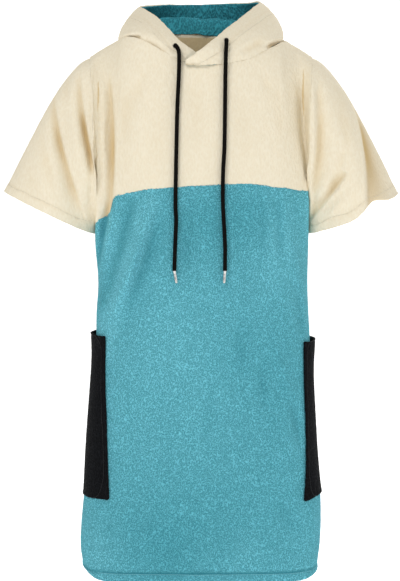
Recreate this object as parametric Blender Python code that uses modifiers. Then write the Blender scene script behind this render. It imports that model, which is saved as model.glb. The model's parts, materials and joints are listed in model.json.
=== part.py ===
"""Hooded bath poncho, filled out as if worn, with its hood down.

Metres, +Z up, front towards -Y, left at -X. The origin lies in the middle of
the neck, where the wearer's shoulders carry the garment.

Every panel is a grid of points on the cloth's outer face. Panels that are
sewn together share their seam points, then step back from each other by half
a seam gap, with a narrow flat strip beside the seam, and Solidify gives the
cloth its thickness.
"""
import math

import bmesh
import bpy
from mathutils import Vector

# ---------------------------------------------------------------- sizes
TERRY = 0.0027            # thickness of the terry cloth
GAP = 0.0003              # space between pieces that are sewn or laid together
ARMHOLE_GAP = 0.0006      # the same at the armholes, where the cloth twists
STRIP = 0.0020            # flat strip beside a seam
SLANTED = 0.60            # grid lines flatter to a seam than this keep their own direction
HEM_Z = -1.067            # bottom of the garment
POCKET_TOP_Z = -0.592
POCKET_BOTTOM_Z = -0.915
POCKET_STANDS_OUT = 0.0085  # how far the pocket's open top stands off the body
ARMHOLE_DEPTH = 0.078     # half the armhole's width from front to back
ARMHOLE_TOP_X = 0.219
ARMHOLE_TOP_Z = -0.046
SHOULDER_BOW = 0.0015     # rise of the shoulder line between neck and armhole
YOKE_ARM_POWER = 1.5      # how fast the armhole's curve fades towards the neck
YOKE_FLATNESS = 0.25      # roundness of the yoke below the middle of the neck
YOKE_SEAM_RISE = 0.60     # share of the back over which its yoke seam rises from the side
ARMHOLE_DRAW_IN = 0.008   # how far the armhole seam runs towards the middle
ARMHOLE_MIDDLE_X = 0.2115  # folds are flat at the armhole seam
ARMHOLE_CLEAR = 0.014
FOLDS_FULL_Y = 0.055      # folds grow from nothing at the side to their full height here
FOLD_FADE = 0.30          # share of a fold's length over which it grows or dies away
NECK_HALF_WIDTH = 0.165
NECK_MIDDLE_Y = -0.005
NECK_HALF_DEPTH = 0.090
NECK_FRONT_Z = -0.0710    # the neck seam at the front middle
NECK_POWER = 0.90         # roundness of the neck seam, 1 is an ellipse
NECK_LEAN = 0.75          # how far the cloth slopes outwards across the neck seam at its sides
BELOW_NECK = 0.97         # the columns stand this share of the neck's width from the middle
CORD_DIAMETER = 0.0070
AGLET_DIAMETER = 0.0058
AGLET_LENGTH = 0.0240
AGLET_TAPER = 0.82        # width of an aglet's tip as a share of its top
KNOT_STEP = 2.2           # diameters between two points of a drawcord
HOOD_LAP = 0.0062         # the right hood half lies this far in front of the left
HOOD_LAP_END = 0.09       # station where that lap ends
HOOD_BELLY = 0.45         # share of the rise at which the front of the hood swells
HOOD_SWELL_OUT = 0.85     # direction of the swell
HOOD_SWELL_UP = 0.45
SEAM_ROWS = 7             # rows of the lower panels above the pockets
YOKE_ROWS = 10
SIDE_COLUMNS = 5          # columns from the side seam to the neck's widest point
SLEEVE_POWER = 0.85       # roundness of the armhole and cuff, 1 is an ellipse
UNDERARM_POWER = 0.35     # how soon the sleeve's underside leaves the side seam
POCKET_LONG_SLACK = 0.90  # shares of the pocket's height over which it sinks to the body
POCKET_MOUTH_SLACK = 0.28
POCKET_MOUTH_SHARE = 0.80
SIDE_LEVEL = (1.2, 1.6)   # weights of x and y in the direction in which a pocket stands out

# Body sections. squareness is the power of the superellipse.
# z, left half width, right half width, front depth, back depth, squareness
BODY_SECTIONS = [
    (-0.280, 0.2125, 0.2130, 0.1150, 0.1210, 2.7),
    (-0.400, 0.2130, 0.2145, 0.1170, 0.1200, 2.7),
    (-0.487, 0.2040, 0.2115, 0.1170, 0.1180, 2.7),
    (-0.568, 0.2115, 0.2150, 0.1170, 0.1190, 2.9),
    (-0.650, 0.2155, 0.2190, 0.1180, 0.1220, 3.1),
    (-0.730, 0.2215, 0.2245, 0.1190, 0.1250, 3.3),
    (-0.830, 0.2295, 0.2310, 0.1210, 0.1280, 3.6),
    (-0.915, 0.2335, 0.2385, 0.1230, 0.1290, 4.0),
    (-0.955, 0.2385, 0.2405, 0.1240, 0.1300, 4.3),
    (-1.016, 0.2430, 0.2380, 0.1250, 0.1300, 4.6),
    (-1.067, 0.2450, 0.2365, 0.1250, 0.1300, 5.0),
]

# Rows of the lower panels from the pockets' top edge down to the hem.
LOWER_ROWS = [POCKET_TOP_Z, -0.610, -0.642, -0.685, -0.730, -0.778, -0.826, -0.872,
              POCKET_BOTTOM_Z, -0.955, -0.995, -1.032, HEM_Z]

# Distance from the middle of the pockets' front edges.
# z, left, right
POCKET_EDGE = [
    (-0.280, 0.1850, 0.1900),
    (-0.592, 0.1860, 0.2000),
    (-0.670, 0.1864, 0.2012),
    (-0.772, 0.1824, 0.2040),
    (-0.852, 0.1805, 0.2050),
    (-0.915, 0.1780, 0.2000),
    (-1.067, 0.1780, 0.1950),
]

# Seam between yoke and front panel.
# x, z
YOKE_SEAM_FRONT = [
    (-0.2125, -0.3770),
    (-0.2000, -0.3700),
    (-0.1850, -0.3480),
    (-0.1673, -0.3270),
    (-0.1442, -0.3176),
    (-0.1096, -0.3100),
    (-0.0583, -0.3055),
    (0.0095, -0.3014),
    (0.0552, -0.2989),
    (0.1030, -0.2985),
    (0.1261, -0.3015),
    (0.1552, -0.3060),
    (0.1837, -0.3110),
    (0.2000, -0.3160),
    (0.2130, -0.3270),
]
YOKE_SEAM_BACK_Z = -0.3050
YOKE_SEAM_SIDE_Z = {-1: -0.3770, 1: -0.3270}

# Hood stations round the neck, from the front middle (0) to the back (1):
# seam height, rim point and swell of the cloth, for each side.
# at, seam z, rim x, rim y, rim z, swell
HOOD_LEFT = [
    (0.000, -0.0715, -0.0060, -0.0900, -0.0600, 0.004),
    (0.045, -0.0680, 0.0120, -0.0880, -0.0440, 0.006),
    (0.090, -0.0550, 0.0290, -0.0820, -0.0320, 0.008),
    (0.140, -0.0410, 0.0422, -0.0730, -0.0205, 0.010),
    (0.190, -0.0280, 0.0570, -0.0590, -0.0040, 0.014),
    (0.250, -0.0165, 0.0720, -0.0430, 0.0140, 0.020),
    (0.310, -0.0115, 0.0860, -0.0240, 0.0295, 0.022),
    (0.400, -0.0125, 0.1070, 0.0000, 0.0450, 0.020),
    (0.500, -0.0150, 0.1240, 0.0260, 0.0555, 0.017),
    (0.590, -0.0073, 0.1222, 0.0640, 0.0622, 0.017),
    (0.660, -0.0020, 0.1120, 0.0900, 0.0665, 0.018),
    (0.710, 0.0005, 0.1015, 0.1085, 0.0698, 0.019),
    (0.735, 0.0017, 0.0952, 0.1175, 0.0712, 0.020),
    (0.760, 0.0028, 0.0885, 0.1260, 0.0726, 0.020),
    (0.785, 0.0038, 0.0805, 0.1340, 0.0740, 0.018),
    (0.820, 0.0050, 0.0700, 0.1440, 0.0755, 0.016),
    (0.910, 0.0068, 0.0360, 0.1670, 0.0780, 0.015),
    (1.000, 0.0070, 0.0000, 0.1760, 0.0790, 0.012),
]
HOOD_RIGHT = [
    (-0.045, -0.0700, -0.0268, -0.0995, -0.0600, 0.001),
    (0.000, -0.0705, -0.0040, -0.0975, -0.0455, 0.004),
    (0.045, -0.0695, 0.0165, -0.0890, -0.0280, 0.008),
    (0.090, -0.0670, 0.0326, -0.0760, -0.0135, 0.012),
    (0.140, -0.0630, 0.0470, -0.0630, 0.0005, 0.018),
    (0.190, -0.0545, 0.0600, -0.0500, 0.0113, 0.022),
    (0.250, -0.0410, 0.0755, -0.0330, 0.0255, 0.026),
    (0.310, -0.0320, 0.0900, -0.0150, 0.0380, 0.028),
    (0.400, -0.0200, 0.1070, 0.0080, 0.0540, 0.028),
    (0.500, -0.0150, 0.1200, 0.0330, 0.0650, 0.026),
    (0.590, -0.0073, 0.1175, 0.0690, 0.0720, 0.024),
    (0.660, -0.0020, 0.1085, 0.0950, 0.0745, 0.022),
    (0.710, 0.0005, 0.0992, 0.1120, 0.0762, 0.021),
    (0.735, 0.0017, 0.0932, 0.1207, 0.0770, 0.020),
    (0.760, 0.0028, 0.0868, 0.1285, 0.0776, 0.020),
    (0.785, 0.0038, 0.0793, 0.1362, 0.0781, 0.018),
    (0.820, 0.0050, 0.0690, 0.1460, 0.0785, 0.016),
    (0.910, 0.0068, 0.0360, 0.1680, 0.0790, 0.015),
    (1.000, 0.0070, 0.0000, 0.1760, 0.0790, 0.012),
]

# The hood's profile from seam to rim. share is the place along the plain rise
# at the front. out and up are the profile at the back, where the hood folds
# over its crest and hangs as a pouch. The last two columns say how far a point
# follows the rim, level and upwards.
# share, out, up, level follow, upward follow
HOOD_PROFILE = [
    (0.00, 0.000, 0.000, 0.00, 0.00),
    (0.09, 0.003, 0.015, 0.00, 0.00),
    (0.17, 0.006, 0.025, 0.00, 0.00),
    (0.24, 0.011, 0.031, 0.00, 0.00),
    (0.31, 0.018, 0.032, 0.00, 0.00),
    (0.38, 0.025, 0.026, 0.00, 0.00),
    (0.45, 0.029, 0.006, 0.00, 0.00),
    (0.52, 0.030, -0.036, 0.00, 0.00),
    (0.59, 0.032, -0.086, 0.00, 0.00),
    (0.65, 0.036, -0.136, 0.00, 0.00),
    (0.71, 0.046, -0.170, 0.00, 0.00),
    (0.77, 0.063, -0.182, 0.00, 0.05),
    (0.83, 0.082, -0.170, 0.02, 0.15),
    (0.88, 0.096, -0.128, 0.08, 0.40),
    (0.93, 0.103, -0.064, 0.25, 0.70),
    (0.97, 0.101, 0.010, 0.60, 0.92),
    (1.00, 0.091, 0.072, 1.00, 1.00),
]
# How much of the back profile shows at a station, and how deep the pouch is.
# at, pouch, depth
HOOD_POUCH = [
    (0.590, 0.00, 0.00),
    (0.660, 0.06, 0.05),
    (0.710, 0.20, 0.20),
    (0.735, 0.32, 0.33),
    (0.760, 0.46, 0.48),
    (0.785, 0.63, 0.64),
    (0.820, 0.85, 0.82),
    (0.91, 1.00, 0.97),
    (1.00, 1.00, 1.00),
]

# Folds. Each runs down from its top, through the x of its middle height, to
# its bottom. height is outward, so a trough is negative.
# top z, top x, middle x, bottom z, bottom x, half width, height
FRONT_FOLDS = [
    (-0.080, -0.1650, -0.1720, -0.345, -0.1740, 0.013, -0.015),
    (-0.120, -0.1930, -0.1920, -0.370, -0.1950, 0.014, 0.007),
    (-0.330, -0.0990, -0.1320, -0.575, -0.2000, 0.022, 0.010),
    (-0.390, -0.1580, -0.1650, -0.530, -0.1880, 0.015, -0.010),
    (-0.310, -0.1780, -0.1900, -0.480, -0.2000, 0.012, -0.010),
    (-0.380, 0.1735, 0.1760, -0.575, 0.2110, 0.018, 0.008),
    (-0.350, 0.1980, 0.1990, -0.480, 0.2050, 0.012, -0.008),
    (-0.280, -0.0300, -0.0300, -0.460, -0.0280, 0.022, -0.004),
    (-0.280, 0.0850, 0.0950, -0.540, 0.1000, 0.024, -0.005),
    (-0.090, 0.1930, 0.1970, -0.250, 0.2050, 0.012, -0.011),
    (-0.930, 0.1650, 0.1750, -1.040, 0.1880, 0.018, -0.003),
    (-0.120, -0.2840, -0.2640, -0.380, -0.2400, 0.015, -0.017),
    (-0.170, -0.3150, -0.3000, -0.370, -0.2800, 0.018, 0.006),
    (-0.080, -0.2340, -0.2300, -0.290, -0.2050, 0.012, -0.016),
    (-0.120, 0.2390, 0.2360, -0.320, 0.2260, 0.012, -0.010),
    (-0.140, 0.3180, 0.3460, -0.330, 0.3560, 0.022, -0.030),
    (-0.150, 0.2900, 0.3060, -0.340, 0.3080, 0.016, 0.007),
    (-0.260, 0.2750, 0.2480, -0.370, 0.2200, 0.012, -0.007),
]
BACK_FOLDS = [
    (-0.080, -0.1500, -0.1600, -0.360, -0.1700, 0.016, -0.012),
    (-0.120, 0.1650, 0.1700, -0.370, 0.1620, 0.015, -0.014),
    (-0.330, -0.0800, -0.1150, -0.600, -0.1800, 0.024, 0.009),
    (-0.350, -0.1550, -0.1500, -0.620, -0.1300, 0.022, -0.007),
    (-0.320, 0.1200, 0.1450, -0.620, 0.1850, 0.024, 0.009),
    (-0.330, 0.0500, 0.0450, -0.580, 0.0300, 0.026, -0.006),
    (-0.300, -0.0200, -0.0250, -0.640, -0.0350, 0.024, -0.004),
    (-0.820, -0.1300, -0.1350, -1.067, -0.1450, 0.030, -0.004),
    (-0.850, 0.1050, 0.1150, -1.067, 0.1200, 0.030, -0.004),
    (-0.120, -0.2900, -0.2750, -0.380, -0.2500, 0.016, -0.014),
    (-0.090, -0.2440, -0.2380, -0.280, -0.2250, 0.012, -0.012),
    (-0.110, 0.2850, 0.2750, -0.370, 0.2550, 0.016, -0.015),
    (-0.100, 0.2350, 0.2300, -0.290, 0.2180, 0.012, -0.012),
]

# Outer edge of a sleeve, from the shoulder to the tip of the cuff.
# x, z, half depth
SLEEVE_EDGE = [
    (0.2190, -0.0460, 0.078),
    (0.2385, -0.0535, 0.078),
    (0.2718, -0.0922, 0.079),
    (0.2968, -0.1304, 0.080),
    (0.3190, -0.1697, 0.079),
    (0.3400, -0.2091, 0.077),
    (0.3604, -0.2486, 0.074),
    (0.3806, -0.2882, 0.071),
    (0.3920, -0.3090, 0.069),
]
# The cuff's inner end, beside the body.
CUFF_INNER = {-1: (0.2165, -0.3940), 1: (0.2175, -0.3920)}
# How far the front of the right cuff hangs below a straight edge.
# down, drop
CUFF_DROP = [
    (0.0, 0.000),
    (0.3, 0.000),
    (0.4, 0.003),
    (0.5, 0.014),
    (0.6, 0.011),
    (0.7, 0.008),
    (0.8, 0.005),
    (1.0, 0.000),
]

# Drawcord routes from the hood's casing down the front.
# x, y, z
CORD_ROUTES = {
    "left": [
        (-0.0470, -0.0887, -0.0325),
        (-0.0467, -0.0937, -0.0354),
        (-0.0459, -0.0974, -0.0402),
        (-0.0447, -0.0987, -0.0461),
        (-0.0428, -0.0992, -0.0610),
        (-0.0430, -0.1014, -0.0950),
        (-0.0449, -0.1080, -0.1486),
        (-0.0462, -0.1138, -0.2050),
        (-0.0475, -0.1182, -0.2644),
        (-0.0486, -0.1192, -0.3364),
        (-0.0475, -0.1194, -0.3668),
        (-0.0495, -0.1203, -0.4200),
        (-0.0507, -0.1212, -0.4619),
    ],
    "right": [
        (0.0487, -0.0840, -0.0220),
        (0.0486, -0.0898, -0.0249),
        (0.0484, -0.0936, -0.0300),
        (0.0480, -0.0956, -0.0370),
        (0.0474, -0.0977, -0.0480),
        (0.0470, -0.0992, -0.0630),
        (0.0464, -0.1010, -0.0950),
        (0.0457, -0.1077, -0.1486),
        (0.0445, -0.1165, -0.2246),
        (0.0418, -0.1197, -0.2796),
        (0.0418, -0.1207, -0.3364),
        (0.0457, -0.1214, -0.4105),
        (0.0457, -0.1215, -0.4619),
    ],
}
AGLET_LEAN = {"left": Vector((0.17, 0.0, -1.0)), "right": Vector((-0.07, 0.0, -1.0))}

# name, colour, roughness, metallic
FINISHES = {
    "cream_terry": ((0.80, 0.74, 0.60), 0.95, 0.0),
    "teal_terry": ((0.09, 0.36, 0.42), 0.95, 0.0),
    "black_terry": ((0.012, 0.013, 0.015), 0.95, 0.0),
    "black_cord": ((0.008, 0.008, 0.009), 0.80, 0.0),
    "silver_metal": ((0.62, 0.60, 0.57), 0.30, 1.0),
}
COLLECTION = "hooded_bath_poncho"
OUT = {"front": -1.0, "back": 1.0}


# ---------------------------------------------------------------- helpers
def blend(a, b, share):
    """Value between a and b."""
    return a + (b - a) * share


def smooth(share):
    """Soft step from 0 to 1."""
    share = min(max(share, 0.0), 1.0)
    return share * share * (3.0 - 2.0 * share)


def lookup(table, at, column):
    """Read a table's column at a place, along soft curves through its rows."""
    rows = table if table[0][0] < table[-1][0] else table[::-1]
    if at <= rows[0][0]:
        return rows[0][column]
    if at >= rows[-1][0]:
        return rows[-1][column]
    k = max(i for i in range(len(rows) - 1) if rows[i][0] <= at)
    before, low, high, after = (rows[max(k - 1, 0)], rows[k], rows[k + 1],
                                rows[min(k + 2, len(rows) - 1)])
    span = high[0] - low[0]
    share = (at - low[0]) / span
    rise_low = slope(before, high, column) * span
    rise_high = slope(low, after, column) * span
    return ((2 * share ** 3 - 3 * share ** 2 + 1) * low[column]
            + (share ** 3 - 2 * share ** 2 + share) * rise_low
            + (3 * share ** 2 - 2 * share ** 3) * high[column]
            + (share ** 3 - share ** 2) * rise_high)


def slope(first, second, column):
    """Slope between two rows of a table."""
    return (second[column] - first[column]) / (second[0] - first[0])


def fold_height(table, x, z):
    """Outward height that the folds give the cloth at x, z."""
    total = 0.0
    for top_z, top_x, middle_x, bottom_z, bottom_x, half_width, height in table:
        down = (top_z - z) / (top_z - bottom_z)
        if not 0.0 < down < 1.0:
            continue
        bend = middle_x - 0.5 * (top_x + bottom_x)
        fold_x = blend(top_x, bottom_x, down) + bend * 4.0 * down * (1.0 - down)
        fade = smooth(down / FOLD_FADE) * smooth((1.0 - down) / FOLD_FADE)
        total += height * fade * math.exp(-((x - fold_x) / half_width) ** 2)
    return total


def folded(point, face):
    """Move a point of the front or back by the folds there."""
    table = FRONT_FOLDS if face == "front" else BACK_FOLDS
    facing = smooth(abs(point.y) / FOLDS_FULL_Y)
    clear = smooth(abs(abs(point.x) - ARMHOLE_MIDDLE_X) / ARMHOLE_CLEAR)
    point.y += OUT[face] * facing * clear * fold_height(table, point.x, point.z)
    return point


# ---------------------------------------------------------------- body
def half_section(z, side, face):
    """Points from the side seam to the middle of the body's section at z."""
    half_width = lookup(BODY_SECTIONS, z, 1 if side < 0 else 2)
    depth = lookup(BODY_SECTIONS, z, 3 if face == "front" else 4)
    power = 2.0 / lookup(BODY_SECTIONS, z, 5)
    steps = 60
    points = []
    for step in range(steps + 1):
        turn = 0.5 * math.pi * step / steps
        points.append((half_width * math.cos(turn) ** power if step < steps else 0.0,
                       depth * math.sin(turn) ** power))
    return points


def along_section(points, share):
    """Point at a share of a half section's length, as distance out and depth."""
    lengths = [0.0]
    for first, second in zip(points, points[1:]):
        lengths.append(lengths[-1] + math.dist(first, second))
    goal = min(max(share, 0.0), 1.0) * lengths[-1]
    for k in range(len(points) - 1):
        if lengths[k + 1] >= goal:
            part = (goal - lengths[k]) / (lengths[k + 1] - lengths[k])
            return (blend(points[k][0], points[k + 1][0], part),
                    blend(points[k][1], points[k + 1][1], part))
    return points[-1]


def share_at(points, x):
    """Share of a half section's length at which it is x from the middle."""
    total = sum(math.dist(a, b) for a, b in zip(points, points[1:]))
    length = 0.0
    for first, second in zip(points, points[1:]):
        if second[0] <= x:
            part = (first[0] - x) / max(first[0] - second[0], 1e-9)
            return (length + part * math.dist(first, second)) / total
        length += math.dist(first, second)
    return 1.0


def column_share(z, side, face, column):
    """Share of the half section at which a column of the grid stands."""
    points = half_section(z, side, face)
    pocket = share_at(points, lookup(POCKET_EDGE, z, 1 if side < 0 else 2))
    if column < SIDE_COLUMNS:
        return pocket * column / (SIDE_COLUMNS - 1)
    at = neck_stations(face)[column - SIDE_COLUMNS]
    seam_z = YOKE_SEAM_BACK_Z
    top = half_section(seam_z, side, face)
    edge = share_at(top, lookup(POCKET_EDGE, seam_z, 1 if side < 0 else 2))
    here = share_at(top, BELOW_NECK * abs(neck_point(side, at).x))
    return blend(pocket, 1.0, (here - edge) / (1.0 - edge))


def body_point(z, side, face, column):
    """Point of the body's outer face."""
    out, depth = along_section(half_section(z, side, face), column_share(z, side, face, column))
    return folded(Vector((side * out, OUT[face] * depth, z)), face)


def yoke_seam_z(side, face, column):
    """Height of the seam between yoke and lower panel at a column."""
    z = YOKE_SEAM_SIDE_Z[side]
    if face == "front":
        for _ in range(3):
            share = column_share(z, side, face, column)
            out, _depth = along_section(half_section(z, side, face), share)
            z = lookup(YOKE_SEAM_FRONT, side * out, 1) if column else z
        return z
    share = column_share(YOKE_SEAM_BACK_Z, side, face, column)
    return blend(z, YOKE_SEAM_BACK_Z, smooth(share / YOKE_SEAM_RISE))


def lower_column(side, face, column):
    """One column of a lower panel, from the yoke seam to the hem."""
    seam_z = yoke_seam_z(side, face, column)
    heights = [blend(seam_z, POCKET_TOP_Z, k / SEAM_ROWS) for k in range(SEAM_ROWS)]
    return [body_point(z, side, face, column) for z in heights + LOWER_ROWS]


# ---------------------------------------------------------------- yoke and sleeves
def neck_stations(face):
    """Stations of the neck seam on one face, from the widest point to the middle."""
    places = [row[0] for row in HOOD_LEFT]
    if face == "front":
        return [at for at in reversed(places) if at <= 0.5]
    return [at for at in places if at >= 0.5]


def neck_point(side, at):
    """Point of the neck seam."""
    turn = math.pi * abs(at)
    turn_side = side if at >= 0.0 else -side
    table = HOOD_LEFT if side < 0 else HOOD_RIGHT
    return Vector((turn_side * NECK_HALF_WIDTH * max(math.sin(turn), 0.0) ** NECK_POWER,
                   NECK_MIDDLE_Y - NECK_HALF_DEPTH * math.cos(turn),
                   lookup(table, at, 1) if abs(at) > 1e-9 else NECK_FRONT_Z))


def neck_out(side, at):
    """Level direction away from the neck at a station."""
    turn = math.pi * abs(at)
    turn_side = side if at >= 0.0 else -side
    return Vector((turn_side * math.sin(turn), -math.cos(turn), 0.0))


def neck_fall(side, at):
    """Direction in which the cloth crosses the neck seam, down and outwards."""
    lean = NECK_LEAN * math.sin(math.pi * abs(at)) ** 2
    return (neck_out(side, at) * lean + Vector((0.0, 0.0, -1.0))).normalized()


def armhole_point(side, face, down):
    """Point of the armhole seam, from the shoulder (0) to the side seam (1)."""
    top_z = ARMHOLE_TOP_Z
    bottom_z = YOKE_SEAM_SIDE_Z[side]
    bottom_x = lookup(BODY_SECTIONS, bottom_z, 1 if side < 0 else 2)
    turn = math.pi * down
    bow = max(math.sin(turn), 0.0)
    x = blend(ARMHOLE_TOP_X, bottom_x, down) - ARMHOLE_DRAW_IN * bow ** 2
    z = blend(top_z, bottom_z, 0.5 * (1.0 - math.cos(turn)))
    return Vector((side * x, OUT[face] * ARMHOLE_DEPTH * bow ** SLEEVE_POWER, z))


def yoke_column(side, face, column):
    """One column of a yoke panel, from shoulder or neck to the yoke seam."""
    bottom = body_point(yoke_seam_z(side, face, column), side, face, column)
    neck_side = neck_point(side, 0.5)
    shoulder = armhole_point(side, face, 0.0)
    if column < SIDE_COLUMNS:
        top = shoulder.lerp(neck_side, column / SIDE_COLUMNS)
        top.z += SHOULDER_BOW * math.sin(math.pi * column / SIDE_COLUMNS)
        arm = (1.0 - column / SIDE_COLUMNS) ** YOKE_ARM_POWER
        roundness = 1.0
    else:
        at = neck_stations(face)[column - SIDE_COLUMNS]
        top = neck_point(side, at)
        arm = 0.0
        roundness = blend(YOKE_FLATNESS, 1.0, math.sin(math.pi * at) ** 2)
    points = []
    for row in range(YOKE_ROWS + 1):
        down = row / YOKE_ROWS
        quarter = 0.5 * math.pi * down
        fall = blend(down, 1.0 - math.cos(quarter), roundness)
        reach = blend(smooth(down), math.sin(quarter), roundness)
        plain = Vector((blend(top.x, bottom.x, down), blend(top.y, bottom.y, reach),
                        blend(top.z, bottom.z, fall)))
        edge = armhole_point(side, face, down)
        edge.x += blend(top.x, bottom.x, down) - blend(shoulder.x, edge_foot(side, face).x, down)
        edge.y += bottom.y * down ** 4
        edge.z = blend(top.z, bottom.z, 0.5 * (1.0 - math.cos(math.pi * down)))
        point = plain.lerp(edge, arm)
        points.append(folded(point, face) if 0 < row < YOKE_ROWS else point)
    return points


def edge_foot(side, face):
    """Foot of the armhole seam."""
    return armhole_point(side, face, 1.0)


def sleeve_ring(side, ring):
    """One ring of a sleeve: down the front from the top, then up the back."""
    out_x, out_z, depth = SLEEVE_EDGE[ring]
    share = ring / (len(SLEEVE_EDGE) - 1)
    foot = edge_foot(side, "front")
    cuff_x, cuff_z = CUFF_INNER[side]
    outer = Vector((side * out_x, 0.0, out_z))
    inner_x = blend(abs(foot.x), cuff_x, share ** UNDERARM_POWER)
    inner = Vector((side * inner_x, 0.0, blend(foot.z, cuff_z, share)))
    points = []
    for face in ("front", "back"):
        half = []
        for row in range(YOKE_ROWS + 1):
            down = row / YOKE_ROWS
            if ring == 0:
                point = armhole_point(side, face, down)
            else:
                turn = math.pi * down
                bow = max(math.sin(turn), 0.0)
                point = outer.lerp(inner, 0.5 * (1.0 - math.cos(turn)))
                point.y = OUT[face] * depth * bow ** SLEEVE_POWER
                point.x -= side * ARMHOLE_DRAW_IN * bow ** 2 * (1.0 - share)
                if side > 0 and face == "front":
                    point.z -= lookup(CUFF_DROP, down, 1) * smooth(2.0 * share - 1.0)
            half.append(folded(point, face) if row not in (0, YOKE_ROWS) else point)
        points += half[:-1] if face == "front" else half[:0:-1]
    return points


# ---------------------------------------------------------------- hood
def hood_station(side, row):
    """One station of the hood, from the neck seam to the rim."""
    at, _seam_z, rim_x, rim_y, rim_z, swell = row
    seam = neck_point(side, at)
    rim = Vector((side * rim_x, rim_y, rim_z))
    out = neck_out(side, at)
    up = Vector((0.0, 0.0, 1.0))
    belly = seam.lerp(rim, HOOD_BELLY) + (out * HOOD_SWELL_OUT + up * HOOD_SWELL_UP) * swell
    pouch = lookup(HOOD_POUCH, at, 1)
    depth = lookup(HOOD_POUCH, at, 2)
    end_out, end_up = HOOD_PROFILE[-1][1:3]
    tail = rim - (seam + out * end_out + up * end_up)
    points = []
    crest = max(HOOD_PROFILE[:-2], key=lambda row: row[2])
    for share, step_out, step_up, level, upward in HOOD_PROFILE:
        plain = seam * (1.0 - share) ** 2 + belly * 2.0 * share * (1.0 - share) + rim * share ** 2
        fall = step_up
        if share > crest[0] and step_up < crest[2]:
            fall = blend(crest[2], step_up, depth)
        hung = seam + out * step_out + up * fall
        hung += Vector((tail.x * level, tail.y * level, tail.z * upward))
        points.append(plain.lerp(hung, pouch))
    lap = lap_share(side, at) * HOOD_LAP
    return [point + out * lap for point in points]


def lap_share(side, at):
    """How far a station of the right half stands in front of the left half."""
    if side < 0:
        return 0.0
    return 1.0 - smooth(at / HOOD_LAP_END)


# ---------------------------------------------------------------- seams
def seam_direction(before, seam, after, along):
    """Direction across a seam, square to it."""
    cross = after - before
    cross -= along * cross.dot(along)
    return cross.normalized() if cross.length > 1e-9 else (after - seam).normalized()


def edge_along(edge, k):
    """Direction along an edge at its point k."""
    return (edge[min(k + 1, len(edge) - 1)] - edge[max(k - 1, 0)]).normalized()


def sew(first, second):
    """Part two lists of rows at their shared last and first row.

    first ends at the seam and second starts at it. Each gets a strip row.
    """
    edge = [a.lerp(b, 0.5) for a, b in zip(first[-1], second[0])]
    first_edge, first_strip, second_edge, second_strip = [], [], [], []
    for k, seam in enumerate(edge):
        across = seam_direction(first[-2][k], seam, second[1][k], edge_along(edge, k))
        back = (first[-2][k] - seam).normalized()
        if back.dot(-across) > SLANTED:
            back = -across
        first_edge.append(seam - across * GAP / 2)
        first_strip.append(seam + back * STRIP)
        second_edge.append(seam + across * GAP / 2)
        second_strip.append(seam + across * STRIP)
    first[-1:] = [first_strip, first_edge]
    second[:1] = [second_edge, second_strip]


def turned(grid):
    """Swap a grid's rows and columns."""
    return [list(line) for line in zip(*grid)]


# ---------------------------------------------------------------- solids
def finish(name):
    """Material of that name."""
    found = bpy.data.materials.get(name)
    if found:
        return found
    colour, roughness, metallic = FINISHES[name]
    material = bpy.data.materials.new(name)
    material.use_nodes = True
    shader = material.node_tree.nodes["Principled BSDF"]
    shader.inputs["Base Color"].default_value = (*colour, 1.0)
    shader.inputs["Roughness"].default_value = roughness
    shader.inputs["Metallic"].default_value = metallic
    return material


def keep(name, data, material, collection):
    """Put an object with that mesh or curve into the collection."""
    data.materials.append(finish(material))
    item = bpy.data.objects.new(name, data)
    collection.objects.link(item)
    return item


def cloth(name, columns, material, collection, wall, closed=False, flip=False):
    """Cloth through a grid of points, given as columns of equal length.

    wall is the nearest and farthest distance of the cloth from the points,
    positive outwards. closed joins the last column to the first.
    """
    mesh = bpy.data.meshes.new(name)
    grid = bmesh.new()
    verts = [[grid.verts.new(point) for point in column] for column in columns]
    pairs = list(zip(verts, verts[1:]))
    if closed:
        pairs.append((verts[-1], verts[0]))
    for near, far in pairs:
        for k in range(len(near) - 1):
            corners = (near[k], near[k + 1], far[k + 1], far[k])
            grid.faces.new(corners[::-1] if flip else corners)
    grid.to_mesh(mesh)
    grid.free()
    mesh.shade_smooth()
    item = keep(name, mesh, material, collection)
    solid = item.modifiers.new("wall", "SOLIDIFY")
    low, high = wall
    solid.thickness = high - low
    solid.offset = (low + high) / (high - low)
    solid.use_rim = True
    return item


# ---------------------------------------------------------------- assembly
def panel_grids():
    """Grids of the lower panels and the yokes, parted at their seams."""
    lower, yoke = {}, {}
    for face in ("front", "back"):
        count = SIDE_COLUMNS + len(neck_stations(face))
        order = [(-1, c) for c in range(count)] + [(1, c) for c in reversed(range(count - 1))]
        lower[face] = [lower_column(side, face, c) for side, c in order]
        yoke[face] = [yoke_column(side, face, c) for side, c in order]
    return lower, yoke


def sew_side_seams(lower):
    """Part the lower front and back at both side seams."""
    lower["back"].reverse()
    sew(lower["front"], lower["back"])
    sew(lower["back"], lower["front"])


def sew_armholes(yoke, sleeves):
    """Part yokes and sleeves at the armholes."""
    rows = YOKE_ROWS + 1
    for side, rings in sleeves.items():
        armhole = [list(ring) for ring in rings[:2]]
        yoke_lines = []
        for line in (0, 1):
            front = yoke["front"][line if side < 0 else -1 - line]
            back = yoke["back"][line if side < 0 else -1 - line]
            yoke_lines.append(list(front[:-1]) + list(back[:0:-1]))
        first = [yoke_lines[1], yoke_lines[0]]
        second = [armhole[0], armhole[1]]
        loop_sew(first, second)
        rings[:2] = second
        strip, edge = first[1], first[2]
        for face in ("front", "back"):
            columns = yoke[face]
            lines = []
            for loop in (strip, edge):
                if face == "front":
                    lines.append(loop[:rows])
                else:
                    lines.append([loop[0]] + loop[:rows - 2:-1])
            if side < 0:
                columns[:1] = [lines[1], lines[0]]
            else:
                columns[-1:] = [lines[0], lines[1]]


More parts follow.
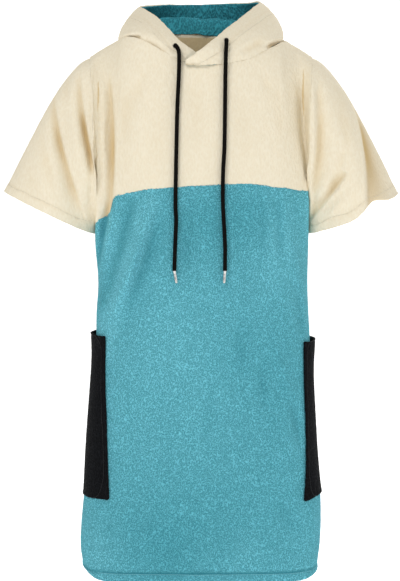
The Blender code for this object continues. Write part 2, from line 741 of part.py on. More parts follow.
def loop_sew(first, second):
    """Part two lists of closed rings at their shared ring."""
    edge = first[-1]
    count = len(edge)
    first_edge, first_strip, second_edge, second_strip = [], [], [], []
    for k, seam in enumerate(edge):
        along = (edge[(k + 1) % count] - edge[k - 1]).normalized()
        across = seam_direction(first[-2][k], seam, second[1][k], along)
        first_edge.append(seam - across * ARMHOLE_GAP / 2)
        first_strip.append(seam - across * STRIP)
        second_edge.append(seam + across * ARMHOLE_GAP / 2)
        second_strip.append(seam + across * STRIP)
    first[-1:] = [first_strip, first_edge]
    second[:1] = [second_edge, second_strip]


def sew_yoke_seams(yoke, lower):
    """Part yokes and lower panels at the yoke seam."""
    for face in ("front", "back"):
        for k in (0, 1, -2, -1):
            yoke[face][k][-1] = lower[face][k][0].copy()
        above = turned(yoke[face])
        below = turned(lower[face])
        sew(above, below)
        yoke[face] = turned(above)
        lower[face] = turned(below)


def sew_shoulders(yoke):
    """Part the yokes at the shoulders, and trim them below the neck seam."""
    ahead = Vector((0.0, -1.0, 0.0))
    for face in ("front", "back"):
        away = ahead if face == "front" else -ahead
        columns = yoke[face]
        stations = neck_stations(face)
        middle = len(columns) // 2
        for k, column in enumerate(columns):
            side = -1 if k <= middle else 1
            from_side = k if side < 0 else len(columns) - 1 - k
            step = from_side - 1 - SIDE_COLUMNS
            top = column[0]
            if step <= 0:
                falls = away
            else:
                falls = neck_fall(side, stations[step])
            if step == 0:
                top += neck_fall(side, 0.5) * GAP / 2
            column[:1] = [top + falls * GAP / 2, top + falls * STRIP]


def hood_grids():
    """Stations of the hood halves, trimmed at the neck and at the back seam."""
    grids = {}
    for side, table in ((-1, HOOD_LEFT), (1, HOOD_RIGHT)):
        stations = []
        for row in table:
            points = hood_station(side, row)
            rise = -neck_fall(side, row[0])
            foot = points[0]
            strip = min(STRIP, 0.5 * (points[1] - foot).length)
            stations.append([foot + rise * GAP / 2, foot + rise * strip] + points[1:])
        across = Vector((side, 0.0, 0.0))
        last = stations[-1]
        stations[-1:] = [[p + across * STRIP for p in last], [p + across * GAP / 2 for p in last]]
        grids[side] = stations
    return grids


def pocket_grid(lower, side):
    """Columns of a pocket, over the side seam, from the panels' own points."""
    first_row = SEAM_ROWS + 1
    rows = range(first_row, first_row + LOWER_ROWS.index(POCKET_BOTTOM_Z) + 1)
    count = SIDE_COLUMNS + 1
    if side < 0:
        front = lower["front"][:count][::-1]
        back = lower["back"][-count:][::-1]
    else:
        front = lower["front"][-count:]
        back = lower["back"][:count]
    seam = [a.lerp(b, 0.5) for a, b in zip(front[-1], back[0])]
    columns = front[:-1] + [seam] + back[1:]
    last = len(columns) - 1
    grid = []
    for k, column in enumerate(columns):
        across = math.sin(math.pi * k / last)
        line = []
        for row in rows:
            point = column[row].copy()
            below = (POCKET_TOP_Z - point.z) / (POCKET_TOP_Z - POCKET_BOTTOM_Z)
            long_slack = 1.0 - smooth(below / POCKET_LONG_SLACK)
            mouth_slack = 1.0 - smooth(below / POCKET_MOUTH_SLACK)
            slack = blend(long_slack, mouth_slack, POCKET_MOUTH_SHARE)
            stand = POCKET_STANDS_OUT * math.sqrt(max(across, 0.0)) * slack
            level = Vector((point.x * SIDE_LEVEL[0], point.y * SIDE_LEVEL[1], 0.0)).normalized()
            line.append(point + level * stand)
        grid.append(line)
    return grid


def cord_curve(points):
    """Soft curve through a route's points, one point every two diameters."""
    knots = [Vector(point) for point in points]
    lengths = [0.0]
    for a, b in zip(knots, knots[1:]):
        lengths.append(lengths[-1] + (b - a).length)
    count = round(lengths[-1] / (KNOT_STEP * CORD_DIAMETER))
    tables = [[(length, knot[axis]) for length, knot in zip(lengths, knots)] for axis in range(3)]
    steps = [lengths[-1] * k / count for k in range(count + 1)]
    steps.insert(1, steps[1] * 0.5)
    return [Vector([lookup(table, step, 1) for table in tables]) for step in steps]


def tube(name, points, diameter, material, collection):
    """Round tube along points."""
    curve = bpy.data.curves.new(name, "CURVE")
    curve.dimensions = "3D"
    curve.bevel_depth = diameter / 2
    curve.bevel_resolution = 2
    curve.use_fill_caps = True
    spline = curve.splines.new("POLY")
    spline.points.add(len(points) - 1)
    for knot, point in zip(spline.points, points):
        knot.co = (*point, 1.0)
    return keep(name, curve, material, collection)


def aglet(name, cord_end, lean, collection):
    """Metal tip below a cord's end."""
    mesh = bpy.data.meshes.new(name)
    tip = bmesh.new()
    radius = AGLET_DIAMETER / 2
    bmesh.ops.create_cone(tip, cap_ends=True, segments=16, radius1=radius * AGLET_TAPER, radius2=radius,
                          depth=AGLET_LENGTH)
    tip.to_mesh(mesh)
    tip.free()
    mesh.shade_smooth()
    mesh.set_sharp_from_angle(angle=math.radians(40))
    item = keep(name, mesh, "silver_metal", collection)
    direction = lean.normalized()
    item.rotation_euler = direction.to_track_quat("-Z", "Y").to_euler()
    clear = CORD_DIAMETER / 2 * math.hypot(lean.x, lean.y) / lean.length + GAP
    item.location = cord_end + Vector((0.0, 0.0, -clear)) + direction * AGLET_LENGTH / 2
    return item


def build():
    """Model every piece of the poncho."""
    for item in list(bpy.data.objects):
        bpy.data.objects.remove(item)
    collection = bpy.data.collections.new(COLLECTION)
    bpy.context.scene.collection.children.link(collection)

    lower, yoke = panel_grids()
    sleeves = {side: [sleeve_ring(side, k) for k in range(len(SLEEVE_EDGE))] for side in (-1, 1)}
    sew_side_seams(lower)
    sew_armholes(yoke, sleeves)
    lower["back"].reverse()
    sew_yoke_seams(yoke, lower)
    lower["back"].reverse()
    sew_shoulders(yoke)
    yoke["back"].reverse()

    inside = (-TERRY, 0.0)
    lining = (-2 * TERRY - GAP, -TERRY - GAP)
    outside = (GAP, GAP + TERRY)
    for face in ("front", "back"):
        cloth(f"{face}_lower", lower[face], "teal_terry", collection, inside)
        cloth(f"{face}_yoke", yoke[face], "cream_terry", collection, inside)
    hood = hood_grids()
    for side, word in ((-1, "left"), (1, "right")):
        rings = turned(sleeves[side])
        cloth(f"sleeve_{word}", rings, "cream_terry", collection, inside, closed=True, flip=side > 0)
        cloth(f"hood_{word}", hood[side], "cream_terry", collection, inside, flip=side > 0)
        cloth(f"lining_{word}", hood[side], "teal_terry", collection, lining, flip=side > 0)
        cloth(f"pocket_{word}", pocket_grid(lower, side), "black_terry", collection, outside,
              flip=side < 0)
        route = cord_curve(CORD_ROUTES[word])
        tube(f"drawcord_{word}", route, CORD_DIAMETER, "black_cord", collection)
        aglet(f"aglet_{word}", route[-1], AGLET_LEAN[word], collection)


build()
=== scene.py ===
"""Looks of a hooded bath poncho: terry cloth with its creases, stitching and braided drawcords.

Every piece of cloth is a finer copy of its solid. Its creases are pressed in, its
edges are stitched down, and its pile is raised. Metres, +Z up, front towards -Y.
"""
import json
import math

import bpy
import numpy as np
from mathutils import Matrix, Vector, kdtree, noise

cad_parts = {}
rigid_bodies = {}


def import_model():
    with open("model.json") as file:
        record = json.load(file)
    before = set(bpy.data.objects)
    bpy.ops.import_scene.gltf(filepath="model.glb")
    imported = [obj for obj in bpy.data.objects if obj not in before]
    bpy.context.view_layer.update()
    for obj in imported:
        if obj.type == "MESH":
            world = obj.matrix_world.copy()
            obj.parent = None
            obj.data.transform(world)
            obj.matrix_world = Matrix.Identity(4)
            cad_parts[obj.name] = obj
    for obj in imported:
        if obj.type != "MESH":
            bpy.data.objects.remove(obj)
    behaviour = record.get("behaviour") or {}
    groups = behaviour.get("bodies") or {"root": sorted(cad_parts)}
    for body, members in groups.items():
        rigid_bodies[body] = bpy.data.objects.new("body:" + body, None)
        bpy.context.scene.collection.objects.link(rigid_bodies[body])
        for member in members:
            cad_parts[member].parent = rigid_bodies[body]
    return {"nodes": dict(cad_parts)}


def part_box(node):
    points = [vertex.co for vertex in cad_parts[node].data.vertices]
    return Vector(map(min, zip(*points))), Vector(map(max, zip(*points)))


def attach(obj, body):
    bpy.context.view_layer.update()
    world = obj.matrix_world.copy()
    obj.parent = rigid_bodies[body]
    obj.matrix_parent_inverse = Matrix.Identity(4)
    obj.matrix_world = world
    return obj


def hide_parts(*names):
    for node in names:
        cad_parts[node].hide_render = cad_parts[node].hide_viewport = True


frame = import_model()

bl_info = {
    "name": "Hooded Bath Poncho",
    "version": (1, 0, 0),
    "blender": (4, 5, 0),
    "location": "3D View > Sidebar > Poncho",
    "description": "Dresses the solids of a hooded bath poncho in terry cloth, stitching and cords",
    "category": "Object",
}

BODY = "root"
UP = Vector((0.0, 0.0, 1.0))
HEM_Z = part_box("front_lower")[0].z
CUFF_TOP = -0.28          # a sleeve's open end is below this
CUFF_FACING = (0.436, -0.9)  # way that it faces, as shares outwards and up
NECK_AXIS = Vector((0.0, 0.03, 0.0))
SHOULDER_X = 0.20         # the body's inner side ends and the sleeves start here

# Copying a solid.
MERGE = 0.00002           # points of a solid closer than this are one point
SHARP = math.radians(55)  # an edge sharper than this is a cut edge of the cloth
QUAD = math.radians(70)   # triangles that bend less than this become one face
SOFT_EDGE = 0.45          # how crisp a cut edge stays

# Painted shade on the cloth, from its plain colour at 0 to its painted colour in folds at 1: in creases,
# on the cloth's inner side and along rows of stitches.
FULL_SHADE = 0.014        # depth of a crease whose cloth is fully shaded
SHADE_BEND = 1.2          # above 1, shallow creases are shaded less
INSIDE_SHADE = 0.75       # on the cloth's inner side
STITCH_SHADE = 0.08       # along a row of stitches
HEM_SHADE = 0.95          # along the stitches of the lower panels' hem
TAPE_Z = 0.0012           # lower edge of the pale tape along the back of the neck

# Seams, and the rows of stitches along hems, cuffs, casing and pockets.
SEAM_REACH = 0.0009       # how far the cloth reaches past its cut edge, into the seam
SEAM_VALLEY = 0.0050      # half width of the valley along a seam
SEAM_DEPTH = 0.0005
PUCKER = 0.0007           # unevenness beside a seam
GROOVE_WIDTH = 0.0034     # half width of the groove under a row of stitches
LINE_WIDTH = 0.0030       # half width of its shade
LIGHT_PRESS = 0.55        # share of the groove's depth anywhere but on the lower panels
HEM_PUFF = 0.0006         # how far the turned cloth stands out
HEM_RISE = 0.0040         # it rises over this far from the edge, and sinks before the stitches
HEM_SINK = 0.0050
HEM_RIPPLE = 0.0006       # unevenness beside the stitches
RIPPLE_WIDTH = 0.009
EDGE_BINS = 220           # steps round an edge when its faces are put in order
EDGE_BREAK = 0.06         # an edge with a wider gap than this share of a turn is an open one
SEARCH_OUT = 0.012        # a stitch's place is looked for from this far outside
STITCH_SPAN = 0.55        # straight part of a stitch, as a share of the pitch
STITCH_END = 0.22         # each of its ends, likewise
STITCH_DROP = 0.80        # how far an end is drawn down, as a share of the thread's radius
STITCH_TAPER = 0.45       # share of its thickness that is left there
STITCH_LIFT = 0.35        # how high a stitch lies, as a share of its thread

# Ends of the cloth: how squarely the faces of its cut edge look that way.
HEM_WAY = 0.6
CUFF_WAY = 0.6
RIM_WAY = 0.3
MOUTH_WAY = 0.5

# Random waves of the cloth, in waves per metre along X, Y and Z.
RIPPLE_WAVES = (95.0, 95.0, 30.0)
PUCKER_WAVES = (120.0, 120.0, 120.0)
WOBBLE_WAVES = (13.0, 5.0, 8.0)
RUFFLE_LEVEL = (34.0, 22.0, 26.0)
RUFFLE_UPRIGHT = (30.0, 12.0, 8.0)
TUFT_SPREAD = 1.3         # spacing of the raised tufts, as a share of the loops' that show

# Pieces of cloth: node, name of the piece, material, levels of finer faces,
# cut width, cut length, cut area.
PANELS = (
    ("front_lower", "front_panel", "teal_terry", 3, 0.69, 0.78, 0.440),
    ("back_lower", "back_panel", "teal_terry", 2, 0.70, 0.78, 0.446),
)
YOKES = (
    ("front_yoke", "front_yoke_cloth", "cream_terry", 3, 0.62, 0.36, 0.135),
    ("back_yoke", "back_yoke_cloth", "cream_terry", 3, 0.62, 0.36, 0.154),
)
SLEEVES = (
    ("sleeve_left", "sleeve_left_cloth", "cream_terry", 3, 0.50, 0.27, 0.103),
    ("sleeve_right", "sleeve_right_cloth", "cream_terry", 3, 0.50, 0.27, 0.105),
)
HOODS = (
    ("hood_left", "hood_left_cloth", "cream_terry", 3, 0.32, 0.42, 0.098),
    ("hood_right", "hood_right_cloth", "cream_terry", 3, 0.32, 0.42, 0.103),
)
LININGS = (
    ("lining_left", "lining_left_cloth", "teal_lining", 2, 0.32, 0.42, 0.095),
    ("lining_right", "lining_right_cloth", "teal_lining", 2, 0.32, 0.42, 0.100),
)
POCKETS = (
    ("pocket_left", "pocket_left_cloth", "black_terry", 3, 0.235, 0.335, 0.075),
    ("pocket_right", "pocket_right_cloth", "black_terry", 3, 0.200, 0.335, 0.061),
)

# Creases on the front, the back and the hood. A ridge has a negative depth. lean widens
# a crease on its +X side.
CREASE_STEPS = 28         # points along a crease
CREASE_STRENGTH = 0.85    # share of its depth that it has, and how much that varies
CREASE_UNEVEN = 0.35
CREASE_FADE = 0.7         # how bluntly it fades towards its ends
CREASE_WAVES = 4.0        # random waves along it
CREASE_RIM = 0.25         # height of the rims beside it, as a share of its depth
RIM_PLACE = 2.0           # where a rim is and how wide, in half widths of the crease
RIM_WIDTH = 0.9
FACING_Y = 0.050          # creases reach their full depth this far from the sides
# top x, top z, middle x, middle z, foot x, foot z, half width, depth, lean
FRONT_CREASES = (
    # left sleeve
    (-0.29, -0.098, -0.2745, -0.209, -0.23, -0.36, 0.01, 0.0115, 0.4),
    (-0.238, -0.075, -0.226, -0.185, -0.205, -0.282, 0.0085, 0.0085, 0.45),
    (-0.252, -0.15, -0.24, -0.225, -0.215, -0.305, 0.01, -0.0035, 1.0),
    (-0.306, -0.19, -0.298, -0.25, -0.278, -0.312, 0.012, 0.003, 1.3),
    (-0.338, -0.25, -0.328, -0.29, -0.315, -0.325, 0.01, 0.002, 1.0),
    # left of the yoke
    (-0.179, -0.085, -0.1695, -0.245, -0.182, -0.4, 0.01, 0.0125, 0.3),
    (-0.168, -0.095, -0.16, -0.24, -0.168, -0.36, 0.006, -0.0025, 1.0),
    (-0.192, -0.085, -0.191, -0.185, -0.193, -0.355, 0.008, -0.005, 1.0),
    (-0.203, -0.085, -0.2034, -0.24, -0.2045, -0.4, 0.0055, -0.0085, 1.0),
    (-0.128, -0.09, -0.142, -0.15, -0.148, -0.22, 0.012, 0.0028, 1.4),
    (-0.105, -0.075, -0.115, -0.105, -0.12, -0.145, 0.008, 0.0022, 1.0),
    # right of the yoke and right sleeve
    (0.193, -0.08, 0.2035, -0.185, 0.212, -0.29, 0.008, 0.002, 1.4),
    (0.221, -0.1, 0.228, -0.22, 0.215, -0.34, 0.0065, 0.0085, 1.8),
    (0.214, -0.08, 0.218, -0.19, 0.2105, -0.31, 0.006, -0.005, 1.0),
    (0.281, -0.274, 0.257, -0.308, 0.208, -0.372, 0.0105, 0.01, 0.25),
    (0.2105, -0.27, 0.2115, -0.33, 0.2125, -0.405, 0.005, -0.007, 1.0),
    (0.272, -0.23, 0.265, -0.27, 0.245, -0.305, 0.008, 0.004, 0.7),
    (0.283, -0.095, 0.3205, -0.225, 0.3235, -0.385, 0.0042, 0.0165, 9.0),
    (0.295, -0.305, 0.264, -0.342, 0.235, -0.364, 0.008, -0.003, 1.0),
    (0.262, -0.1, 0.276, -0.17, 0.286, -0.245, 0.012, 0.0028, 1.0),
    (0.138, -0.09, 0.15, -0.15, 0.156, -0.215, 0.012, 0.0025, 0.8),
    (0.118, -0.08, 0.126, -0.115, 0.13, -0.155, 0.008, 0.002, 1.0),
    # middle of the yoke
    (-0.015, -0.085, -0.01, -0.15, -0.013, -0.23, 0.014, 0.0018, 1.0),
    (0.022, -0.09, 0.019, -0.15, 0.023, -0.21, 0.011, -0.0012, 1.0),
    (0.075, -0.13, 0.079, -0.19, 0.076, -0.255, 0.016, 0.0016, 1.0),
    (-0.078, -0.14, -0.082, -0.2, -0.079, -0.265, 0.016, 0.0016, 1.0),
    # upper front panel
    (-0.088, -0.313, -0.129, -0.44, -0.18, -0.565, 0.0115, -0.015, 0.9),
    (-0.128, -0.315, -0.151, -0.4, -0.183, -0.49, 0.012, 0.0075, 0.7),
    (-0.08, -0.35, -0.115, -0.475, -0.156, -0.6, 0.013, 0.005, 1.4),
    (-0.09, -0.47, -0.102, -0.52, -0.124, -0.565, 0.009, 0.0025, 1.0),
    (-0.177, -0.325, -0.1895, -0.398, -0.205, -0.47, 0.009, 0.012, 0.3),
    (-0.169, -0.335, -0.18, -0.4, -0.194, -0.47, 0.0055, -0.0035, 1.0),
    (-0.029, -0.335, -0.028, -0.41, -0.03, -0.48, 0.012, 0.0045, 1.2),
    (0.021, -0.45, 0.023, -0.495, 0.021, -0.54, 0.012, -0.0025, 1.0),
    (0.115, -0.315, 0.119, -0.39, 0.115, -0.475, 0.011, 0.0055, 1.2),
    (0.147, -0.315, 0.15, -0.385, 0.154, -0.46, 0.0095, 0.0065, 1.0),
    (0.176, -0.36, 0.185, -0.445, 0.205, -0.545, 0.011, -0.007, 1.0),
    (0.19, -0.49, 0.193, -0.545, 0.198, -0.59, 0.008, 0.006, 1.0),
    # lower front panel
    (-0.021, -0.535, -0.019, -0.585, -0.023, -0.635, 0.011, 0.0026, 1.0),
    (0.075, -0.53, 0.076, -0.6, 0.07, -0.67, 0.011, 0.0045, 1.3),
    (0.112, -0.63, 0.12, -0.688, 0.129, -0.74, 0.0095, 0.0042, 0.8),
    (0.142, -0.6, 0.164, -0.67, 0.188, -0.725, 0.01, -0.0045, 1.0),
    (0.17, -0.695, 0.185, -0.76, 0.193, -0.815, 0.008, 0.0055, 1.0),
    (0.015, -0.685, 0.012, -0.735, 0.008, -0.79, 0.01, 0.0028, 1.0),
    (0.079, -0.73, 0.077, -0.775, 0.08, -0.825, 0.0085, 0.0026, 1.0),
    (-0.064, -0.75, -0.07, -0.81, -0.067, -0.88, 0.015, 0.0018, 1.0),
    (0.148, -0.905, 0.168, -0.942, 0.19, -0.985, 0.01, 0.004, 1.4),
    (0.114, -0.89, 0.113, -0.95, 0.108, -1.02, 0.02, -0.0025, 1.0),
    (-0.172, -0.915, -0.18, -0.97, -0.17, -1.03, 0.015, 0.0026, 1.0),
    (-0.01, -0.92, -0.004, -0.985, -0.012, -1.06, 0.019, 0.0018, 1.0),
    # left sleeve, between its long valleys
    (-0.229, -0.155, -0.217, -0.224, -0.201, -0.29, 0.0065, 0.0065, 0.4),
    (-0.256, -0.065, -0.261, -0.105, -0.267, -0.15, 0.006, 0.003, 1.0),
)
BACK_CREASES = (
    # shoulders and yoke
    (-0.16, -0.075, -0.175, -0.18, -0.18, -0.31, 0.008, 0.0151, 1.4),
    (-0.196, -0.09, -0.202, -0.15, -0.206, -0.23, 0.007, 0.0108, 1.0),
    (0.17, -0.08, 0.179, -0.185, 0.176, -0.305, 0.0075, 0.014, 0.7),
    (0.206, -0.09, 0.213, -0.17, 0.21, -0.26, 0.007, 0.0108, 1.0),
    (-0.118, -0.11, -0.128, -0.17, -0.13, -0.245, 0.012, 0.0065, 1.2),
    (0.124, -0.1, 0.133, -0.165, 0.135, -0.25, 0.013, 0.0061, 1.0),
    (-0.07, -0.2, -0.03, -0.235, 0.035, -0.242, 0.012, 0.0043, 1.0),
    # sleeves
    (-0.29, -0.13, -0.272, -0.21, -0.242, -0.33, 0.0095, 0.0151, 1.2),
    (-0.328, -0.22, -0.314, -0.27, -0.29, -0.32, 0.011, 0.0065, 1.0),
    (-0.248, -0.15, -0.238, -0.22, -0.22, -0.29, 0.008, -0.0065, 1.0),
    (0.29, -0.14, 0.276, -0.23, 0.252, -0.34, 0.01, 0.0151, 0.8),
    (0.335, -0.23, 0.32, -0.28, 0.295, -0.325, 0.011, 0.0065, 1.0),
    (0.242, -0.12, 0.233, -0.2, 0.218, -0.295, 0.008, 0.0108, 1.0),
    # panel
    (-0.15, -0.32, -0.148, -0.43, -0.128, -0.59, 0.012, 0.0108, 1.3),
    (-0.175, -0.36, -0.19, -0.44, -0.202, -0.53, 0.011, -0.0086, 1.0),
    (0.048, -0.33, 0.044, -0.42, 0.033, -0.54, 0.012, 0.0073, 1.0),
    (0.16, -0.33, 0.172, -0.42, 0.196, -0.52, 0.011, 0.0108, 0.8),
    (-0.045, -0.34, -0.042, -0.44, -0.038, -0.56, 0.015, 0.0051, 1.0),
    (0.1, -0.45, 0.112, -0.54, 0.118, -0.64, 0.012, 0.0065, 1.0),
    (-0.085, -0.62, -0.09, -0.7, -0.083, -0.79, 0.013, 0.0061, 1.0),
    (0.02, -0.65, 0.024, -0.73, 0.02, -0.82, 0.013, 0.0051, 1.0),
    (0.15, -0.7, 0.165, -0.76, 0.185, -0.81, 0.01, 0.0073, 1.0),
    (-0.133, -0.84, -0.138, -0.93, -0.145, -1.05, 0.016, 0.0065, 1.0),
    (0.112, -0.86, 0.115, -0.94, 0.12, -1.05, 0.016, 0.0065, 1.0),
)
HOOD_CREASES = (
    (-0.17, -0.0235, -0.14, -0.0175, -0.116, -0.015, 0.0055, 0.01, 1.0),
    (-0.118, -0.019, -0.093, -0.035, -0.065, -0.052, 0.009, 0.0034, 1.0),
    (-0.11, -0.002, -0.086, -0.012, -0.062, -0.024, 0.007, -0.002, 1.0),
    (0.166, -0.022, 0.144, -0.027, 0.127, -0.036, 0.0055, 0.007, 1.0),
    (0.125, -0.018, 0.102, -0.033, 0.076, -0.046, 0.0075, 0.0045, 1.0),
    (0.106, 0.008, 0.086, -0.004, 0.064, -0.017, 0.007, -0.0018, 1.0),
)

# Course of the yoke's seam: it steps down where it passes under the left fold.
# x, drop
SEAM_COURSE = (
    (-0.21, 0.0),
    (-0.201, 0.001),
    (-0.193, 0.0062),
    (-0.189, 0.0094),
    (-0.1807, 0.0135),
    (-0.176, 0.013),
    (-0.17, -0.008),
    (-0.164, -0.0084),
    (-0.1564, -0.0042),
    (-0.137, -0.0025),
    (0.0, -0.0024),
    (0.1, -0.0025),
    (0.141, -0.001),
    (0.164, -0.004),
    (0.188, -0.0036),
    (0.1975, -0.007),
    (0.205, -0.009),
    (0.212, 0.0),
)
COURSE_Z = -0.335         # height of the seam
COURSE_REACH = 0.095      # how far above and below it its course is felt
COURSE_FULL = 1.6         # how soon it is felt fully towards the seam
COURSE_Y = 0.03           # it is felt fully this far in front of the sides

# Places where the cloth is drawn a little to one side. A squeeze draws it together.
# x, z, reach x, reach z, move x, move z, squeeze
SHIFTS = (
    # right cuff
    (0.333, -0.345, 0.021, 0.06, 0.0, 0.011, 0.0),
    (0.378, -0.325, 0.026, 0.045, 0.0, -0.006, 0.0),
    # below the armholes
    (0.2115, -0.36, 0.02, 0.07, 0.0, 0.0, 0.95),
    (-0.2065, -0.325, 0.016, 0.09, 0.0, 0.0, 0.95),
    # feet and tops of the pockets
    (-0.2, -0.935, 0.07, 0.05, 0.0, 0.009, 0.0),
    (0.238, -0.925, 0.03, 0.04, 0.0, 0.011, 0.0),
    (-0.218, -0.61, 0.02, 0.06, 0.0045, 0.0, 0.0),
    (0.215, -0.595, 0.04, 0.04, 0.001, -0.014, 0.0),
    # corners of the hem
    (-0.245, -1.072, 0.033, 0.042, 0.008, 0.017, 0.0),
    (0.24, -1.065, 0.03, 0.04, -0.004, 0.01, 0.0),
)
TUCK = 0.0050             # how far a sleeve's inner edge is tucked against the body
TUCK_X = 0.2120           # where that edge is
TUCK_REACH = 0.0120
TUCK_TOP = -0.2300        # the tuck starts here and is full a little lower
TUCK_EASE = 0.05
RUFFLE = 0.0075           # waves in the hood where it lies behind the neck
RUFFLE_Y = 0.05           # it starts here, and fades from RUFFLE_BACK_Y and RUFFLE_TOP_Z on
RUFFLE_BACK_Y = 0.11
RUFFLE_TOP_Z = 0.05
RUFFLE_SHIFT = 7.0        # keeps its upright waves unlike its level ones
RUFFLE_DIP_X = 0.06       # the rim dips here
HOOD_FRONT_Y = 0.06       # the hood's creases are in front of this

# Painted light and shade on the lower panels: places painted darker where less light falls, in valleys,
# at the top and near the hem, or lighter where the share is negative, as on ridges.
# painted shade over the whole of the lower panels, so that ridges can be painted lighter
PAINTED_SHADE_BASE = 0.23                  # share everywhere
PAINTED_SHADE_TINT = (0.12, 0.46, 0.49)  # what a full share leaves of the colour
# x, z, reach x, reach z, share
PAINTED_LIGHT_AND_SHADE = (
    # right half
    (0.02, -0.37, 0.1, 0.075, 0.22),
    (0.09, -0.35, 0.05, 0.06, 0.12),
    (0.145, -0.42, 0.04, 0.075, -0.2),
    # painted light on the body's side below the right armhole, where the sleeve shades it
    (0.215, -0.36, 0.012, 0.06, -0.38),
    (0.15, -0.68, 0.07, 0.14, 0.14),
    (0.07, -0.63, 0.05, 0.08, 0.08),
    # left half, and painted light along the ridge of its long fold
    (-0.07, -0.6, 0.09, 0.12, -0.1),
    (-0.098, -0.34, 0.02, 0.03, -0.35),
    (-0.114, -0.385, 0.015, 0.032, -0.45),
    (-0.126, -0.43, 0.015, 0.028, -0.4),
    (-0.144, -0.47, 0.015, 0.028, -0.4),
    (-0.158, -0.512, 0.015, 0.026, -0.4),
    (-0.176, -0.555, 0.017, 0.028, -0.45),
    (-0.188, -0.6, 0.016, 0.035, -0.35),
    (-0.178, -0.395, 0.017, 0.05, -0.4),
    # painted shade in the valleys beside that ridge
    (-0.144, -0.365, 0.01, 0.03, 0.06),
    (-0.162, -0.435, 0.01, 0.028, 0.1),
    (-0.176, -0.485, 0.01, 0.028, 0.14),
    (-0.193, -0.525, 0.011, 0.032, 0.24),
    # near the hem, mostly painted shade
    (-0.1, -0.97, 0.13, 0.1, 0.16),
    (-0.065, -1.035, 0.06, 0.07, 0.14),
    (0.07, -0.94, 0.16, 0.13, 0.14),
    (0.085, -1.01, 0.025, 0.05, -0.1),
    (-0.195, -1.01, 0.03, 0.06, -0.18),
)

# Drawcord routes from the hood's casing down the front.
# x, y, z
CORD_ROUTES = {
    "left": (
        (-0.0488, -0.0887, -0.0325),
        (-0.0474, -0.0937, -0.0348),
        (-0.0445, -0.0974, -0.0385),
        (-0.0424, -0.0987, -0.0445),
        (-0.0416, -0.0992, -0.061),
        (-0.0424, -0.1014, -0.095),
        (-0.0449, -0.108, -0.1486),
        (-0.0462, -0.1138, -0.205),
        (-0.0475, -0.1182, -0.2644),
        (-0.0486, -0.1192, -0.3364),
        (-0.0475, -0.1194, -0.3668),
        (-0.0495, -0.1203, -0.42),
        (-0.0507, -0.1212, -0.4619),
    ),
    "right": (
        (0.0487, -0.084, -0.022),
        (0.0486, -0.0898, -0.0249),
        (0.0484, -0.0936, -0.03),
        (0.048, -0.0956, -0.037),
        (0.0474, -0.0977, -0.048),
        (0.047, -0.0992, -0.063),
        (0.0464, -0.101, -0.095),
        (0.0457, -0.1077, -0.1486),
        (0.0445, -0.1165, -0.2246),
        (0.0418, -0.1197, -0.2796),
        (0.0418, -0.1207, -0.3364),
        (0.0457, -0.1214, -0.4105),
        (0.0457, -0.1215, -0.4619),
    ),
}
CORD_STEP = 0.0010        # from ring to ring of the braid
CORD_CLEAR = 0.0005       # space between a cord and the cloth under it
KNOT_PARTS = 24           # points from knot to knot before they are evened out
BRAID_SIDES = 20
BRAID_FLOOR = 0.90        # radius between the strands, as a share of the cord's
BRAID_CROWN = 0.13        # how far a strand rises above that
AGLET_LEAN = {"left": Vector((0.17, 0.0, -1.0)), "right": Vector((-0.07, 0.0, -1.0))}
AGLET_GAP = 0.0004        # between a cord's end and the top of its tip
HOLE_RADIUS = 0.0050      # a buttonhole, its thread, its stitches and how long its oval is
HOLE_THREAD = 0.0011
HOLE_STITCHES = 24
HOLE_LENGTH = 1.25
HOLE_RELIEF = 0.035       # how far its stitches stand out sideways, as a share of its size
HOLE_LIFT = 0.0002        # how far it stands off the cloth
HOLE_DEPTH = 0.0040       # a cord starts this far behind it
FREE_KNOT = 3             # a cord's route is free to lie on the cloth from this point on
AHEAD_Y = -0.4            # in front of everything

# An aglet from its open top to its rounded tip.
# height below the top and radius, as shares of the length and of the radius
AGLET_PROFILE = (
    (0.0, 1.12),
    (0.05, 1.16),
    (0.085, 1.0),
    (0.2, 0.98),
    (0.23, 0.86),
    (0.26, 0.86),
    (0.29, 0.98),
    (0.42, 0.97),
    (0.45, 0.85),
    (0.48, 0.85),
    (0.51, 0.96),
    (0.8, 0.9),
    (0.93, 0.84),
    (0.98, 0.7),
    (1.0, 0.45),
)

# Stage. The render is this many pixels tall, and the lens's focal length and sideways
# shift are in the same pixels.
CAMERA_PIXELS = 581.0
CAMERA_FOCUS = 1354.0
CAMERA_SHIFT = -1.0
SENSOR = 24.0
FLOOR_SIZE = 14.0
SWEEP = 2.0               # curve from the floor up to the backdrop
PAPER = (0.93, 0.93, 0.93)
PAPER_GLOW = 0.65
WORLD_LIGHT = 0.42
LIGHTS_AIM = Vector((0.0, 0.0, -0.45))
# name, place, size, power
LIGHTS = (
    ("key", Vector((-1.5, -2.3, 2.0)), 1.5, 52.0),
    ("fill", Vector((2.6, -1.9, 0.3)), 2.0, 20.0),
    ("back", Vector((1.7, 2.5, 1.9)), 2.0, 50.0),
)


